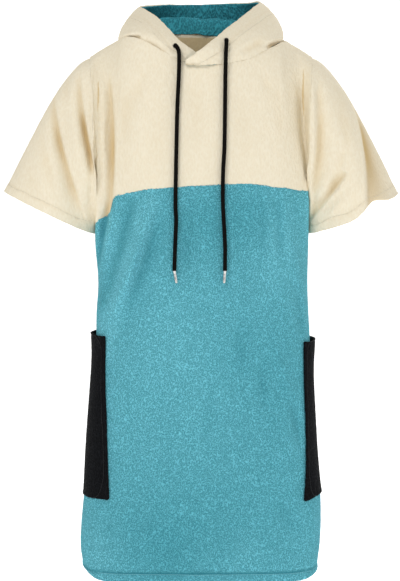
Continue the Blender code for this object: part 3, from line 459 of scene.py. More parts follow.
# ---------------------------------------------------------------- sizes and colours to change
class PonchoCloth(bpy.types.PropertyGroup):
    """Colours and pile of the cloth."""

    cream: bpy.props.FloatVectorProperty(
        name="Cream", description="Yoke, sleeves and hood", subtype="COLOR",
        default=(0.800, 0.730, 0.575), min=0.0, max=1.0)
    # Besides the colour between the loops, this is the painted shade in creases, on the inner side and
    # along stitched lines.
    cream_deep: bpy.props.FloatVectorProperty(
        name="Cream in folds", description="Warm shade deep in the pile and in folds", subtype="COLOR",
        default=(0.600, 0.440, 0.215), min=0.0, max=1.0)
    teal: bpy.props.FloatVectorProperty(
        name="Teal", description="Lower panels", subtype="COLOR",
        default=(0.268, 0.797, 0.935), min=0.0, max=1.0)
    # Besides the colour between the loops, this is the painted shade in the teal's creases and along its
    # stitched hem.
    teal_deep: bpy.props.FloatVectorProperty(
        name="Teal in folds", description="Shade deep in the teal pile", subtype="COLOR",
        default=(0.060, 0.320, 0.395), min=0.0, max=1.0)
    # The lining is the teal painted darker, as the shade inside the hood.
    lining: bpy.props.FloatVectorProperty(
        name="Lining", description="Inside of the hood", subtype="COLOR",
        default=(0.058, 0.395, 0.490), min=0.0, max=1.0)
    black: bpy.props.FloatVectorProperty(
        name="Black", description="Pockets", subtype="COLOR",
        default=(0.007, 0.008, 0.010), min=0.0, max=1.0)
    pile: bpy.props.FloatProperty(
        name="Pile", description="Height of the loops", default=0.0011, unit="LENGTH")
    loop_size: bpy.props.FloatProperty(
        name="Loop size", description="Spacing of the tufts that show", default=0.0034, unit="LENGTH")
    unevenness: bpy.props.FloatProperty(
        name="Unevenness", description="Soft wobble of the hanging cloth", default=0.0032,
        unit="LENGTH")


class PonchoStitching(bpy.types.PropertyGroup):
    """Hems, casing and stitches."""

    pitch: bpy.props.FloatProperty(
        name="Pitch", description="Distance from stitch to stitch", default=0.0042, unit="LENGTH")
    thread: bpy.props.FloatProperty(
        name="Thread", description="Diameter of the thread", default=0.0009, unit="LENGTH")
    hem: bpy.props.FloatProperty(
        name="Hem", description="Depth of the hem and cuffs", default=0.0185, unit="LENGTH")
    casing: bpy.props.FloatProperty(
        name="Casing", description="Depth of the drawcord's casing round the hood", default=0.026,
        unit="LENGTH")
    pocket_edge: bpy.props.FloatProperty(
        name="Pocket edge", description="Distance of the pocket's stitches from its edge",
        default=0.004, unit="LENGTH")
    press: bpy.props.FloatProperty(
        name="Press", description="How far a stitched line presses into the pile", default=0.0006,
        unit="LENGTH")


class PonchoCords(bpy.types.PropertyGroup):
    """Drawcords and their tips."""

    diameter: bpy.props.FloatProperty(
        name="Diameter", description="Diameter of a drawcord", default=0.0080, unit="LENGTH")
    strands: bpy.props.IntProperty(
        name="Strands", description="Strands of the braid in each direction", default=4)
    pitch: bpy.props.FloatProperty(
        name="Braid pitch", description="Length of one turn of a strand", default=0.017,
        unit="LENGTH")
    aglet_diameter: bpy.props.FloatProperty(
        name="Tip diameter", description="Diameter of the metal tip", default=0.0058,
        unit="LENGTH")
    aglet_length: bpy.props.FloatProperty(
        name="Tip length", description="Length of the metal tip", default=0.0240, unit="LENGTH")


class PonchoStage(bpy.types.PropertyGroup):
    """Floor, lights and camera."""

    floor_z: bpy.props.FloatProperty(
        name="Floor", description="Height of the floor", default=-1.45, unit="LENGTH")
    distance: bpy.props.FloatProperty(
        name="Camera distance", description="Distance of the camera from the garment's middle",
        default=2.70, unit="LENGTH")
    height: bpy.props.FloatProperty(
        name="Camera height", description="Height of the camera", default=-0.308, unit="LENGTH")
    tilt: bpy.props.FloatProperty(
        name="Camera tilt", description="How far the camera looks down", default=math.radians(4.245),
        unit="ROTATION")


# ---------------------------------------------------------------- helpers
def select_none():
    """Select nothing."""
    for other in bpy.context.view_layer.objects:
        other.select_set(False)


def select_only(item):
    """Select this object and no other, and make it active."""
    select_none()
    item.select_set(True)
    bpy.context.view_layer.objects.active = item


def edit(mode):
    """Enter edit mode with nothing selected."""
    bpy.ops.object.mode_set(mode="EDIT")
    bpy.ops.mesh.select_mode(type=mode)
    bpy.ops.mesh.select_all(action="DESELECT")


def leave_edit():
    """Return to object mode."""
    bpy.ops.object.mode_set(mode="OBJECT")


def edit_only(mode, parts, kept):
    """Enter edit mode with only those faces or edges selected that kept(part) keeps."""
    edit(mode)
    leave_edit()
    for part in parts:
        part.select = kept(part)
    bpy.ops.object.mode_set(mode="EDIT")
    bpy.ops.mesh.select_mode(type=mode)


def apply_modifiers(piece):
    """Apply every modifier of a piece."""
    select_only(piece)
    for modifier in list(piece.modifiers):
        bpy.ops.object.modifier_apply(modifier=modifier.name)


def apply_place(piece):
    """Put a piece's place and turn into its mesh."""
    select_only(piece)
    bpy.ops.object.transform_apply(location=True, rotation=True, scale=True)


def new_object(name, data):
    """Object in the scene."""
    item = bpy.data.objects.new(name, data)
    bpy.context.scene.collection.objects.link(item)
    return item


def new_piece(name, points, faces):
    """Smooth piece made from its points and faces."""
    mesh = bpy.data.meshes.new(name)
    mesh.from_pydata([tuple(point) for point in points], [], faces)
    mesh.shade_smooth()
    return new_object(name, mesh)


def places_of(piece):
    """Places of a piece's points, as an array of rows."""
    places = np.empty(len(piece.data.vertices) * 3)
    piece.data.vertices.foreach_get("co", places)
    return places.reshape(-1, 3)


def normals_of(piece):
    """Directions out of a piece's points, as an array of rows."""
    normals = np.empty(len(piece.data.vertices) * 3)
    piece.data.vertex_normals.foreach_get("vector", normals)
    return normals.reshape(-1, 3)


def move_to(piece, places):
    """Put a piece's points at these places."""
    piece.data.vertices.foreach_set("co", places.ravel())
    piece.data.update()


def soft_step(share):
    """Soft step from 0 to 1, for an array."""
    share = np.clip(share, 0.0, 1.0)
    return share * share * (3.0 - 2.0 * share)


def random_waves(places, scales, shift=0.0):
    """Smooth random value from -1 to 1 at each place, from waves per metre along X, Y and Z."""
    scale_x, scale_y, scale_z = scales
    return np.array([noise.noise(Vector((x * scale_x + shift, y * scale_y, z * scale_z)))
                     for x, y, z in places])


def keep_values(piece, name, values):
    """Keep a value on each of a piece's points, for its material."""
    piece.data.attributes.new(name, "FLOAT", "POINT").data.foreach_set("value", values)


def declare(piece, material):
    """Give a piece its finish and let it ride on the garment."""
    piece.data.materials.clear()
    piece.data.materials.append(material)
    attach(piece, BODY)


# ---------------------------------------------------------------- materials
def new_material(name):
    """Empty material: itself, its nodes, its shader and the piece's coordinates."""
    material = bpy.data.materials.new(name)
    material.use_nodes = True
    tree = material.node_tree
    where = tree.nodes.new("ShaderNodeTexCoord").outputs["Object"]
    return material, tree, tree.nodes["Principled BSDF"], where


def add(tree, kind, **values):
    """Node of a kind, with its plain values and its sockets' values set."""
    item = tree.nodes.new(kind)
    for key, value in values.items():
        if key in item.inputs:
            item.inputs[key].default_value = value
        else:
            setattr(item, key, value)
    return item


def set_inputs(node, values):
    """Give a node's named sockets their values."""
    for name, value in values.items():
        node.inputs[name].default_value = value


def rgba(colour):
    """Colour with full cover."""
    return (*colour, 1.0)


def scaled(colour, share):
    """Colour made darker or lighter."""
    return tuple(channel * share for channel in colour)


def mixed(tree, share, first, second):
    """Colour between two colours or sockets, by a share's socket."""
    item = tree.nodes.new("ShaderNodeMix")
    item.data_type = "RGBA"
    tree.links.new(share, item.inputs["Factor"])
    for name, value in (("A", first), ("B", second)):
        socket = next(s for s in item.inputs if s.name == name and s.type == "RGBA")
        if isinstance(value, bpy.types.NodeSocket):
            tree.links.new(value, socket)
        else:
            socket.default_value = rgba(value)
    return next(s for s in item.outputs if s.type == "RGBA")


def ranged(tree, value, low, high, to_low=0.0, to_high=1.0):
    """Value brought from one range to another, softly."""
    item = add(tree, "ShaderNodeMapRange", interpolation_type="SMOOTHSTEP")
    tree.links.new(value, item.inputs["Value"])
    set_inputs(item, {"From Min": low, "From Max": high, "To Min": to_low, "To Max": to_high})
    return item.outputs["Result"]


def product(tree, first, second):
    """Product of two values."""
    item = add(tree, "ShaderNodeMath", operation="MULTIPLY")
    tree.links.new(first, item.inputs[0])
    tree.links.new(second, item.inputs[1])
    return item.outputs["Value"]


def stretched(tree, coordinates, height):
    """Coordinates with their height scaled."""
    item = add(tree, "ShaderNodeMapping", Scale=(1.0, 1.0, height))
    tree.links.new(coordinates, item.inputs["Vector"])
    return item.outputs["Vector"]


def raised(tree, shader, height, strength, distance):
    """Let a height show as fine relief."""
    item = add(tree, "ShaderNodeBump", Strength=strength, Distance=distance)
    tree.links.new(height, item.inputs["Height"])
    tree.links.new(item.outputs["Normal"], shader.inputs["Normal"])


def attribute(tree, name):
    """Value kept on the piece's points."""
    return add(tree, "ShaderNodeAttribute", attribute_name=name).outputs["Fac"]


def spots(tree, coordinates, scale, detail=2.0):
    """Soft random spots."""
    item = add(tree, "ShaderNodeTexNoise", Scale=scale, Detail=detail, Roughness=0.6)
    tree.links.new(coordinates, item.inputs["Vector"])
    return item.outputs["Fac"]


def terry(name, colour, deep, warm, loops, speckle, nap, sheen):
    """Terry cloth: a net of pale loops, darker between them, with painted warm shade in the folds and, on
    the lower panels, painted light and shade.

    loops is how many tufts lie in a metre, speckle how strongly they show and nap
    how far they are combed downwards.
    """
    material, tree, shader, where = new_material(name)
    combed = stretched(tree, where, 1.0 / nap)
    cells = add(tree, "ShaderNodeTexVoronoi", Scale=loops)
    tree.links.new(combed, cells.inputs["Vector"])
    tufts = ranged(tree, cells.outputs["Distance"], 0.20, 0.85)
    clumps = ranged(tree, spots(tree, combed, loops * 0.9, 3.0), 0.30, 0.65, 0.65, 1.0)
    light = product(tree, tufts, clumps)
    between = tuple(a + (b - a) * speckle for a, b in zip(colour, deep))
    # painted shade from the fold values, then the lower panels' painted light and shade
    cloth = mixed(tree, attribute(tree, "fold"), mixed(tree, light, between, colour), warm)
    painted_tone = mixed(tree, attribute(tree, "painted_light_and_shade"), (1.0, 1.0, 1.0), PAINTED_SHADE_TINT)
    shaded_cloth = add(tree, "ShaderNodeVectorMath", operation="MULTIPLY")
    tree.links.new(cloth, shaded_cloth.inputs[0])
    tree.links.new(painted_tone, shaded_cloth.inputs[1])
    tree.links.new(shaded_cloth.outputs["Vector"], shader.inputs["Base Color"])
    height = add(tree, "ShaderNodeMath", operation="MULTIPLY_ADD")
    tree.links.new(spots(tree, combed, loops * 2.4), height.inputs[0])
    height.inputs[1].default_value = 0.6
    tree.links.new(light, height.inputs[2])
    raised(tree, shader, height.outputs["Value"], 0.8, 0.0035 * speckle)
    tint = rgba(tuple(min(1.0, channel * 1.2 + 0.05) for channel in colour))
    set_inputs(shader, {"Roughness": 0.92, "Specular IOR Level": 0.1, "Sheen Weight": sheen,
                        "Sheen Roughness": 0.5, "Sheen Tint": tint})
    return material


def thread(name, colour):
    """Twisted sewing thread."""
    material, tree, shader, where = new_material(name)
    twist = ranged(tree, spots(tree, where, 1400.0), 0.35, 0.65)
    tree.links.new(mixed(tree, twist, scaled(colour, 0.7), colour), shader.inputs["Base Color"])
    set_inputs(shader, {"Roughness": 0.7})
    return material


def braided(name, colour):
    """Black cord, with paler fibres on the crowns of its braid."""
    material, tree, shader, where = new_material(name)
    fibres = spots(tree, where, 900.0, 3.0)
    pale = product(tree, attribute(tree, "crown"), ranged(tree, fibres, 0.3, 0.7))
    tree.links.new(mixed(tree, pale, colour, scaled(colour, 1.8)), shader.inputs["Base Color"])
    raised(tree, shader, fibres, 0.5, 0.0005)
    set_inputs(shader, {"Roughness": 0.85, "Specular IOR Level": 0.03})
    return material


def satin_metal(name, colour):
    """Satin metal with faint turning marks."""
    material, tree, shader, where = new_material(name)
    marks = spots(tree, stretched(tree, where, 8.0), 500.0)
    tree.links.new(ranged(tree, marks, 0.3, 0.7, 0.22, 0.38), shader.inputs["Roughness"])
    shine = mixed(tree, ranged(tree, marks, 0.3, 0.7), scaled(colour, 0.85), colour)
    tree.links.new(shine, shader.inputs["Base Color"])
    set_inputs(shader, {"Metallic": 1.0})
    return material


def plain_stage(name, colour):
    """Matt pale paper."""
    material, tree, shader, where = new_material(name)
    grain = ranged(tree, spots(tree, where, 3.0), 0.3, 0.7)
    tree.links.new(mixed(tree, grain, scaled(colour, 0.985), colour), shader.inputs["Base Color"])
    set_inputs(shader, {"Roughness": 1.0, "Specular IOR Level": 0.0,
                        "Emission Color": rgba(colour), "Emission Strength": PAPER_GLOW})
    return material


def finish(name):
    """Material for a piece of that name's finish, made when it is first asked for."""
    look = "look_" + name
    found = bpy.data.materials.get(look)
    if found:
        return found
    cloth = bpy.context.scene.poncho_cloth
    cream, teal, lining, black = (tuple(c) for c in (cloth.cream, cloth.teal, cloth.lining, cloth.black))
    cream_deep, teal_deep = tuple(cloth.cream_deep), tuple(cloth.teal_deep)
    tufts = 1.0 / cloth.loop_size
    # colour, between the loops, painted shade in folds, loops in a metre, speckle, nap, sheen
    if name == "cream_terry":
        return terry(look, cream, cream_deep, cream_deep, tufts * 0.9, 0.15, 2.2, 0.12)
    if name == "teal_terry":
        return terry(look, teal, teal_deep, teal_deep, tufts * 1.7, 0.88, 1.3, 0.08)
    # the lining: the teal painted darker, as the shade inside the hood
    if name == "teal_lining":
        return terry(look, lining, scaled(lining, 0.35), lining, tufts * 1.2, 0.75, 2.4, 0.04)
    if name == "black_terry":
        return terry(look, black, scaled(black, 0.3), black, tufts * 0.9, 0.9, 1.1, 0.0)
    if name == "black_cord":
        return braided(look, (0.0045, 0.0040, 0.0035))
    if name == "silver_metal":
        return satin_metal(look, (0.72, 0.70, 0.67))
    if name == "cream_thread":
        return thread(look, cream)
    if name == "teal_thread":
        return thread(look, scaled(teal, 0.8))
    return thread(look, black)


# ---------------------------------------------------------------- cloth
def crease_line(top, middle, foot):
    """Points along the soft curve of a crease through its top, its middle and its foot."""
    share = np.linspace(0.0, 1.0, CREASE_STEPS)[:, None]
    pull = 2.0 * np.array(middle) - 0.5 * (np.array(top) + np.array(foot))
    return ((1 - share) ** 2 * np.array(top) + 2 * share * (1 - share) * pull
            + share ** 2 * np.array(foot))


def crease_depth(places, creases):
    """Depth of the creases at places, by their x and z.

    A crease fades towards both ends, is uneven along its length, and has a low rim on
    either side.
    """
    depth = np.zeros(len(places))
    spread = places[:, (0, 2)]
    for number, crease in enumerate(creases):
        half_width, deep, lean = crease[6:]
        line = crease_line(crease[:2], crease[2:4], crease[4:6])
        reach = 4.0 * half_width * max(lean, 1.0)
        near = np.all((spread > line.min(0) - reach) & (spread < line.max(0) + reach), axis=1)
        if not near.any():
            continue
        gap = spread[near][:, None, :] - line[None]
        nearest = np.argmin((gap ** 2).sum(2), axis=1)
        along = np.gradient(line, axis=0)
        along /= np.linalg.norm(along, axis=1)[:, None]
        away = gap[np.arange(len(gap)), nearest]
        beside = away[:, 0] * -along[nearest, 1] + away[:, 1] * along[nearest, 0]
        length = np.linalg.norm(np.diff(line, axis=0), axis=1).mean()
        place = (nearest + (away * along[nearest]).sum(1) / length) / (CREASE_STEPS - 1)
        width = half_width * np.where(beside > 0.0, lean, 1.0)
        waves = [noise.noise(Vector((CREASE_WAVES * step / CREASE_STEPS, number, 0.5)))
                 for step in range(CREASE_STEPS)]
        uneven = CREASE_STRENGTH + CREASE_UNEVEN * np.array(waves)
        strength = np.interp(place * (CREASE_STEPS - 1), np.arange(CREASE_STEPS), uneven)
        fade = np.sin(np.pi * np.clip(place, 0.0, 1.0)) ** CREASE_FADE
        rims = np.exp(-((np.abs(beside) / width - RIM_PLACE) / RIM_WIDTH) ** 2)
        across = np.exp(-(beside / width) ** 2) - CREASE_RIM * rims
        depth[near] += deep * strength * fade * across
    return depth


def press_creases(piece):
    """Press the front and back creases into a piece, and note how deep they are."""
    places = places_of(piece)
    inside = inner_side(piece) & (np.abs(places[:, 0]) < SHOULDER_X)
    front = places[:, 1] < 0.0
    depth = np.zeros(len(places))
    depth[front] = crease_depth(places[front], FRONT_CREASES)
    depth[~front] = crease_depth(places[~front], BACK_CREASES)
    depth *= soft_step(np.abs(places[:, 1]) / FACING_Y)
    places[:, 1] += np.where(front, depth, -depth)
    move_to(piece, places)
    note_folds(piece, depth, inside)


def draw_cloth(piece):
    """Draw the cloth to its seam's course and to one side here and there, and tuck the sleeves in."""
    places = places_of(piece)
    across, drop = np.array(SEAM_COURSE).T
    nearness = np.clip(1.0 - np.abs(places[:, 2] - COURSE_Z) / COURSE_REACH, 0.0, 1.0)
    fall = np.interp(places[:, 0], across, drop, 0.0, 0.0) * soft_step(COURSE_FULL * nearness)
    moves = np.zeros_like(places)
    moves[:, 2] = -fall * soft_step(-places[:, 1] / COURSE_Y)
    for x, z, reach_x, reach_z, move_x, move_z, squeeze in SHIFTS:
        off = places[:, 0] - x
        felt = np.exp(-(off / reach_x) ** 2 - ((places[:, 2] - z) / reach_z) ** 2)
        moves[:, 0] += felt * (move_x - squeeze * off)
        moves[:, 2] += felt * move_z
    if piece.name.startswith("sleeve"):
        edge = np.exp(-((np.abs(places[:, 0]) - TUCK_X) / TUCK_REACH) ** 2)
        edge *= soft_step((TUCK_TOP - places[:, 2]) / TUCK_EASE)
        moves[:, 0] -= np.sign(places[:, 0]) * TUCK * edge
    move_to(piece, places + moves)


def out_from_neck(places):
    """Level directions from the neck's axis to places."""
    out = places - np.array(NECK_AXIS)
    out[:, 2] = 0.0
    return out / (np.linalg.norm(out, axis=1)[:, None] + 1e-9)


def ruffle_hood(piece):
    """Wave the hood and its lining alike behind the neck, and less at the rim and further back."""
    places = places_of(piece)
    felt = soft_step((places[:, 1] - RUFFLE_Y) / 0.03)
    felt *= 1.0 - 0.85 * soft_step((places[:, 1] - RUFFLE_BACK_Y) / 0.04)
    felt *= 1.0 - 0.7 * soft_step((places[:, 2] - RUFFLE_TOP_Z) / 0.02)
    level = random_waves(places, RUFFLE_LEVEL)
    upright = random_waves(places, RUFFLE_UPRIGHT, RUFFLE_SHIFT)
    upright -= np.exp(-((places[:, 0] - RUFFLE_DIP_X) / 0.03) ** 2)
    places -= out_from_neck(places) * (RUFFLE * felt * level)[:, None]
    places[:, 2] += RUFFLE * felt * upright
    move_to(piece, places)


def press_hood_creases(piece):
    """Press the hood's creases towards the neck's axis."""
    places = places_of(piece)
    inside = inner_side(piece) & ("lining" not in piece.name)
    depth = crease_depth(places, HOOD_CREASES) * (places[:, 1] < HOOD_FRONT_Y)
    move_to(piece, places - out_from_neck(places) * depth[:, None])
    note_folds(piece, depth, inside)


def inner_side(piece):
    """Whether each point of a piece faces the neck's axis."""
    away = places_of(piece)[:, :2] - np.array(NECK_AXIS)[:2]
    return (normals_of(piece)[:, :2] * away).sum(1) < 0.0


def note_folds(piece, depth, inside):
    """Keep the depth of the creases as painted shade on the cloth, with painted shade on its inner side,
    and paint the lower panels' light and shade.
    """
    places = places_of(piece)
    shade = np.clip(depth / FULL_SHADE, 0.0, 1.0) ** SHADE_BEND
    # painted shade on the inner side, none on the back above the tape's lower edge
    shade[inside] = INSIDE_SHADE
    shade[inside & (places[:, 1] > 0.0) & (places[:, 2] > TAPE_Z)] = 0.0
    keep_values(piece, "fold", shade)
    if not piece.name.endswith("panel"):
        return
    # painted shade over the lower panels, lighter on ridges and darker in valleys
    painted_share = np.full(len(places), PAINTED_SHADE_BASE)
    for x, z, reach_x, reach_z, share in PAINTED_LIGHT_AND_SHADE:
        painted_share += share * np.exp(-((places[:, 0] - x) / reach_x) ** 2 - ((places[:, 2] - z) / reach_z) ** 2)
    keep_values(piece, "painted_light_and_shade", np.clip(painted_share, 0.0, 1.0))


def finer_copy(node, name, levels):
    """Finer copy of a solid, with its cut edges crisp and marked as its second material."""
    piece = new_object(name, frame["nodes"][node].data.copy())
    piece.data.name = name
    select_only(piece)
    edit("EDGE")
    bpy.ops.mesh.select_all(action="SELECT")
    bpy.ops.mesh.customdata_custom_splitnormals_clear()
    bpy.ops.mesh.remove_doubles(threshold=MERGE)
    bpy.ops.mesh.tris_convert_to_quads(face_threshold=QUAD, shape_threshold=QUAD)
    bpy.ops.mesh.select_all(action="DESELECT")
    bpy.ops.mesh.edges_select_sharp(sharpness=SHARP)
    bpy.ops.transform.edge_crease(value=SOFT_EDGE)
    leave_edit()
    piece.data.materials.clear()
    piece.data.materials.append(None)
    piece.data.materials.append(None)
    cut = np.empty(len(piece.data.edges), bool)
    piece.data.edges.foreach_get("select", cut)
    ring = {tuple(sorted(e.vertices)) for e, sharp in zip(piece.data.edges, cut) if sharp}
    for face in piece.data.polygons:
        sharp = sum(tuple(sorted(key)) in ring for key in face.edge_keys)
        face.material_index = 1 if sharp >= 2 else 0
    finer = piece.modifiers.new("finer", "SUBSURF")
    finer.levels = finer.render_levels = levels
    apply_modifiers(piece)
    bpy.ops.object.shade_smooth()
    reach_into_seams(piece)
    return piece


def reach_into_seams(piece):
    """Push the cut edge out a little, so that sewn pieces meet."""
    push = np.zeros((len(piece.data.vertices), 3))
    for face in piece.data.polygons:
        if face.material_index == 1:
            for corner in face.vertices:
                push[corner] += face.normal
    far = np.linalg.norm(push, axis=1)[:, None]
    move_to(piece, places_of(piece) + push / np.maximum(far, 1e-9) * SEAM_REACH)


def cut_edge(piece, chosen):
    """Middles and directions of the cut edge's faces that chosen(middle, direction) keeps."""
    found = []
    for face in piece.data.polygons:
        if face.material_index == 1 and chosen(face.center, face.normal):
            found.append((face.center.copy(), face.normal.copy()))
    return found


def distance_to(places, edge):
    """Distance of each place from an edge's faces."""
    tree = kdtree.KDTree(len(edge))
    for k, (middle, _direction) in enumerate(edge):
        tree.insert(middle, k)
    tree.balance()
    return np.array([tree.find(place)[2] for place in places])


def press_band(piece, hem_edge, depth):
    """Puff the turned cloth of a hem, and press its stitched line into the pile."""
    panel = piece.name.endswith("panel")
    press = bpy.context.scene.poncho_stitching.press * (1.0 if panel else LIGHT_PRESS)
    places = places_of(piece)
    normals = normals_of(piece)
    far = distance_to(places, hem_edge)
    groove = press * np.exp(-((far - depth) / GROOVE_WIDTH) ** 2)
    puff = HEM_PUFF * soft_step(far / HEM_RISE) * soft_step((depth - far) / HEM_SINK)
    ripple = random_waves(places, RIPPLE_WAVES)
    ripple *= HEM_RIPPLE * np.exp(-((far - depth) / RIPPLE_WIDTH) ** 2)
    move_to(piece, places + normals * (puff - groove + ripple)[:, None])
    # painted shade along the stitched line
    shade = np.empty(len(places))
    piece.data.attributes["fold"].data.foreach_get("value", shade)
    line = (HEM_SHADE if panel else STITCH_SHADE) * np.exp(-((far - depth) / LINE_WIDTH) ** 2)
    piece.data.attributes["fold"].data.foreach_set("value", np.maximum(shade, line))


def press_seams(piece, seam_edge):
    """Let the cloth sink and pucker along its seams."""
    places = places_of(piece)
    far = distance_to(places, seam_edge)
    sink = SEAM_DEPTH * np.exp(-(far / SEAM_VALLEY) ** 2)
    pucker = random_waves(places, PUCKER_WAVES)
    sink += PUCKER * pucker * np.exp(-(far / (2.2 * SEAM_VALLEY)) ** 2)
    move_to(piece, places - normals_of(piece) * sink[:, None])


def raise_pile(piece, nap):
    """Soft wobble of the hanging cloth, and the tufts of its pile."""
    cloth = bpy.context.scene.poncho_cloth
    places = places_of(piece)
    tufts = 1.0 / (cloth.loop_size * TUFT_SPREAD)
    lift = random_waves(places, (tufts, tufts, tufts / nap))
    wobble = random_waves(places, WOBBLE_WAVES)
    side = np.sign(places[:, 1]) * soft_step(np.abs(places[:, 1]) / FACING_Y)
    places += normals_of(piece) * (lift * cloth.pile * 0.5)[:, None]
    places[:, 1] += side * wobble * cloth.unevenness
    move_to(piece, places)


def make_cloth(row, hood=False, nap=1.3, hem=None, hem_depth=0.0):
    """Piece of cloth that stands for a solid, and the cut edge that hem(middle, direction) keeps."""
    node, name, material, levels, width, length, area = row
    piece = finer_copy(node, name, levels)
    hem_edge = cut_edge(piece, hem) if hem else []
    seam_edge = cut_edge(piece, lambda middle, direction: not (hem and hem(middle, direction)))
    if hood:
        ruffle_hood(piece)
        press_hood_creases(piece)
    else:
        draw_cloth(piece)
        press_creases(piece)
    if seam_edge:
        press_seams(piece, seam_edge)
    if hem_edge:
        press_band(piece, hem_edge, hem_depth)
    raise_pile(piece, nap)
    for face in piece.data.polygons:
        face.material_index = 0
    declare(piece, finish(material))
    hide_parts(node)
    return piece, hem_edge


# ---------------------------------------------------------------- stitches
def stitch_shape(length, radius):
    """Points and faces of one stitch, lying along X, with both its ends drawn down."""
    select_none()
    bpy.ops.mesh.primitive_cylinder_add(vertices=6, radius=radius, depth=length * STITCH_SPAN,
                                        rotation=(0.0, math.pi / 2, 0.0), end_fill_type="NGON")
    stitch = bpy.context.object
    apply_place(stitch)
    for end in (-1.0, 1.0):
        edit_only("FACE", stitch.data.polygons, lambda face: face.normal.x * end > 0.9)
        bpy.ops.mesh.extrude_region_move(
            TRANSFORM_OT_translate={"value": (end * length * STITCH_END, 0.0, -radius * STITCH_DROP)})
        bpy.ops.transform.resize(value=(1.0, STITCH_TAPER, STITCH_TAPER))
        leave_edit()
    points = [v.co.copy() for v in stitch.data.vertices]
    faces = [tuple(f.vertices) for f in stitch.data.polygons]
    bpy.data.objects.remove(stitch)
    return points, faces


def lengths_along(line):
    """Length of a line up to each of its points."""
    lengths = [0.0]
    for a, b in zip(line, line[1:]):
        lengths.append(lengths[-1] + (b - a).length)
    return lengths


def places_along(line, lengths, goals):
    """Place and direction at each of these lengths along a line."""
    found = []
    k = 0
    for goal in goals:
        while k < len(line) - 2 and lengths[k + 1] < goal:
            k += 1
        share = (goal - lengths[k]) / (lengths[k + 1] - lengths[k])
        found.append((line[k].lerp(line[k + 1], share), (line[k + 1] - line[k]).normalized()))
    return found


def even_steps(points, pitch, closed):
    """Places and directions at the middles of even steps along a line."""
    line = list(points) + ([points[0]] if closed else [])
    lengths = lengths_along(line)
    count = max(int(lengths[-1] / pitch), 1)
    return places_along(line, lengths, [lengths[-1] * (step + 0.5) / count for step in range(count)])


def smoothed(points, closed, rounds=6):
    """Line with its small zigzags evened out."""
    line = [p.copy() for p in points]
    for _ in range(rounds):
        last = [p.copy() for p in line]
        for k in range(len(line)):
            if closed or 0 < k < len(line) - 1:
                line[k] = 0.5 * last[k] + 0.25 * (last[k - 1] + last[(k + 1) % len(line)])
    return line


def ordered_edge(edge, centre, axis, bins):
    """Edge's middles and directions, evened into bins by their turn round an axis."""
    first = axis.orthogonal().normalized()
    second = axis.cross(first)
    groups = {}
    for middle, direction in edge:
        spoke = middle - centre
        turn = math.atan2(spoke.dot(second), spoke.dot(first))
        groups.setdefault(int((turn + math.pi) / (2 * math.pi) * bins), []).append((middle, direction))
    keys = sorted(groups)
    breaks = [(keys[k] - keys[k - 1]) % bins for k in range(len(keys))]
    start = breaks.index(max(breaks))
    closed = max(breaks) < bins * EDGE_BREAK
    line = []
    for key in keys[start:] + keys[:start]:
        members = groups[key]
        middle = sum((m for m, _d in members), Vector()) / len(members)
        direction = sum((d for _m, d in members), Vector()).normalized()
        line.append((middle, direction))
    return line, closed


def sew_line(name, piece, edge, depth, centre, axis, material, core=None):
    """Sew a row of stitches along an edge, at a depth from it, on the side away from a core.

    The edge turns round the axis, which is the core too unless another is given.
    """
    stitching = bpy.context.scene.poncho_stitching
    core = core or axis
    line, closed = ordered_edge(edge, centre, axis, EDGE_BINS)
    places = []
    for middle, direction in line:
        spoke = middle - centre
        out = (spoke - core * spoke.dot(core)).normalized()
        outside = middle - direction * depth + out * SEARCH_OUT
        _hit, spot, _normal, _face = piece.closest_point_on_mesh(outside)
        places.append(spot)
    path = smoothed(places, closed)
    points, faces = stitch_shape(stitching.pitch, stitching.thread / 2)
    all_points, all_faces = [], []
    for spot, along in even_steps(path, stitching.pitch, closed):
        _hit, ground, up, _face = piece.closest_point_on_mesh(spot)
        across = up.cross(along).normalized()
        along = across.cross(up)
        turn = Matrix((along, across, up)).transposed()
        base = len(all_points)
        all_points += [ground + up * (stitching.thread * STITCH_LIFT) + turn @ p for p in points]
        all_faces += [tuple(base + k for k in face) for face in faces]
    declare(new_piece(name, all_points, all_faces), finish(material))


# ---------------------------------------------------------------- cords
def soft_line(knots, step):
    """Points at even steps along a soft curve through knots, and its length."""
    fine = []
    last = len(knots) - 1
    for k in range(last):
        before, low = knots[max(k - 1, 0)], knots[k]
        high, after = knots[k + 1], knots[min(k + 2, last)]
        tension = (high - low).length
        out = (high - before).normalized() * tension
        arrive = (after - low).normalized() * tension
        for part in range(KNOT_PARTS):
            t = part / KNOT_PARTS
            fine.append((2 * t ** 3 - 3 * t ** 2 + 1) * low + (t ** 3 - 2 * t ** 2 + t) * out
                        + (3 * t ** 2 - 2 * t ** 3) * high + (t ** 3 - t ** 2) * arrive)
    fine.append(knots[-1])
    lengths = lengths_along(fine)
    count = round(lengths[-1] / step)
    goals = [lengths[-1] * number / count for number in range(count + 1)]
    return [place for place, _direction in places_along(fine, lengths, goals)], lengths[-1]


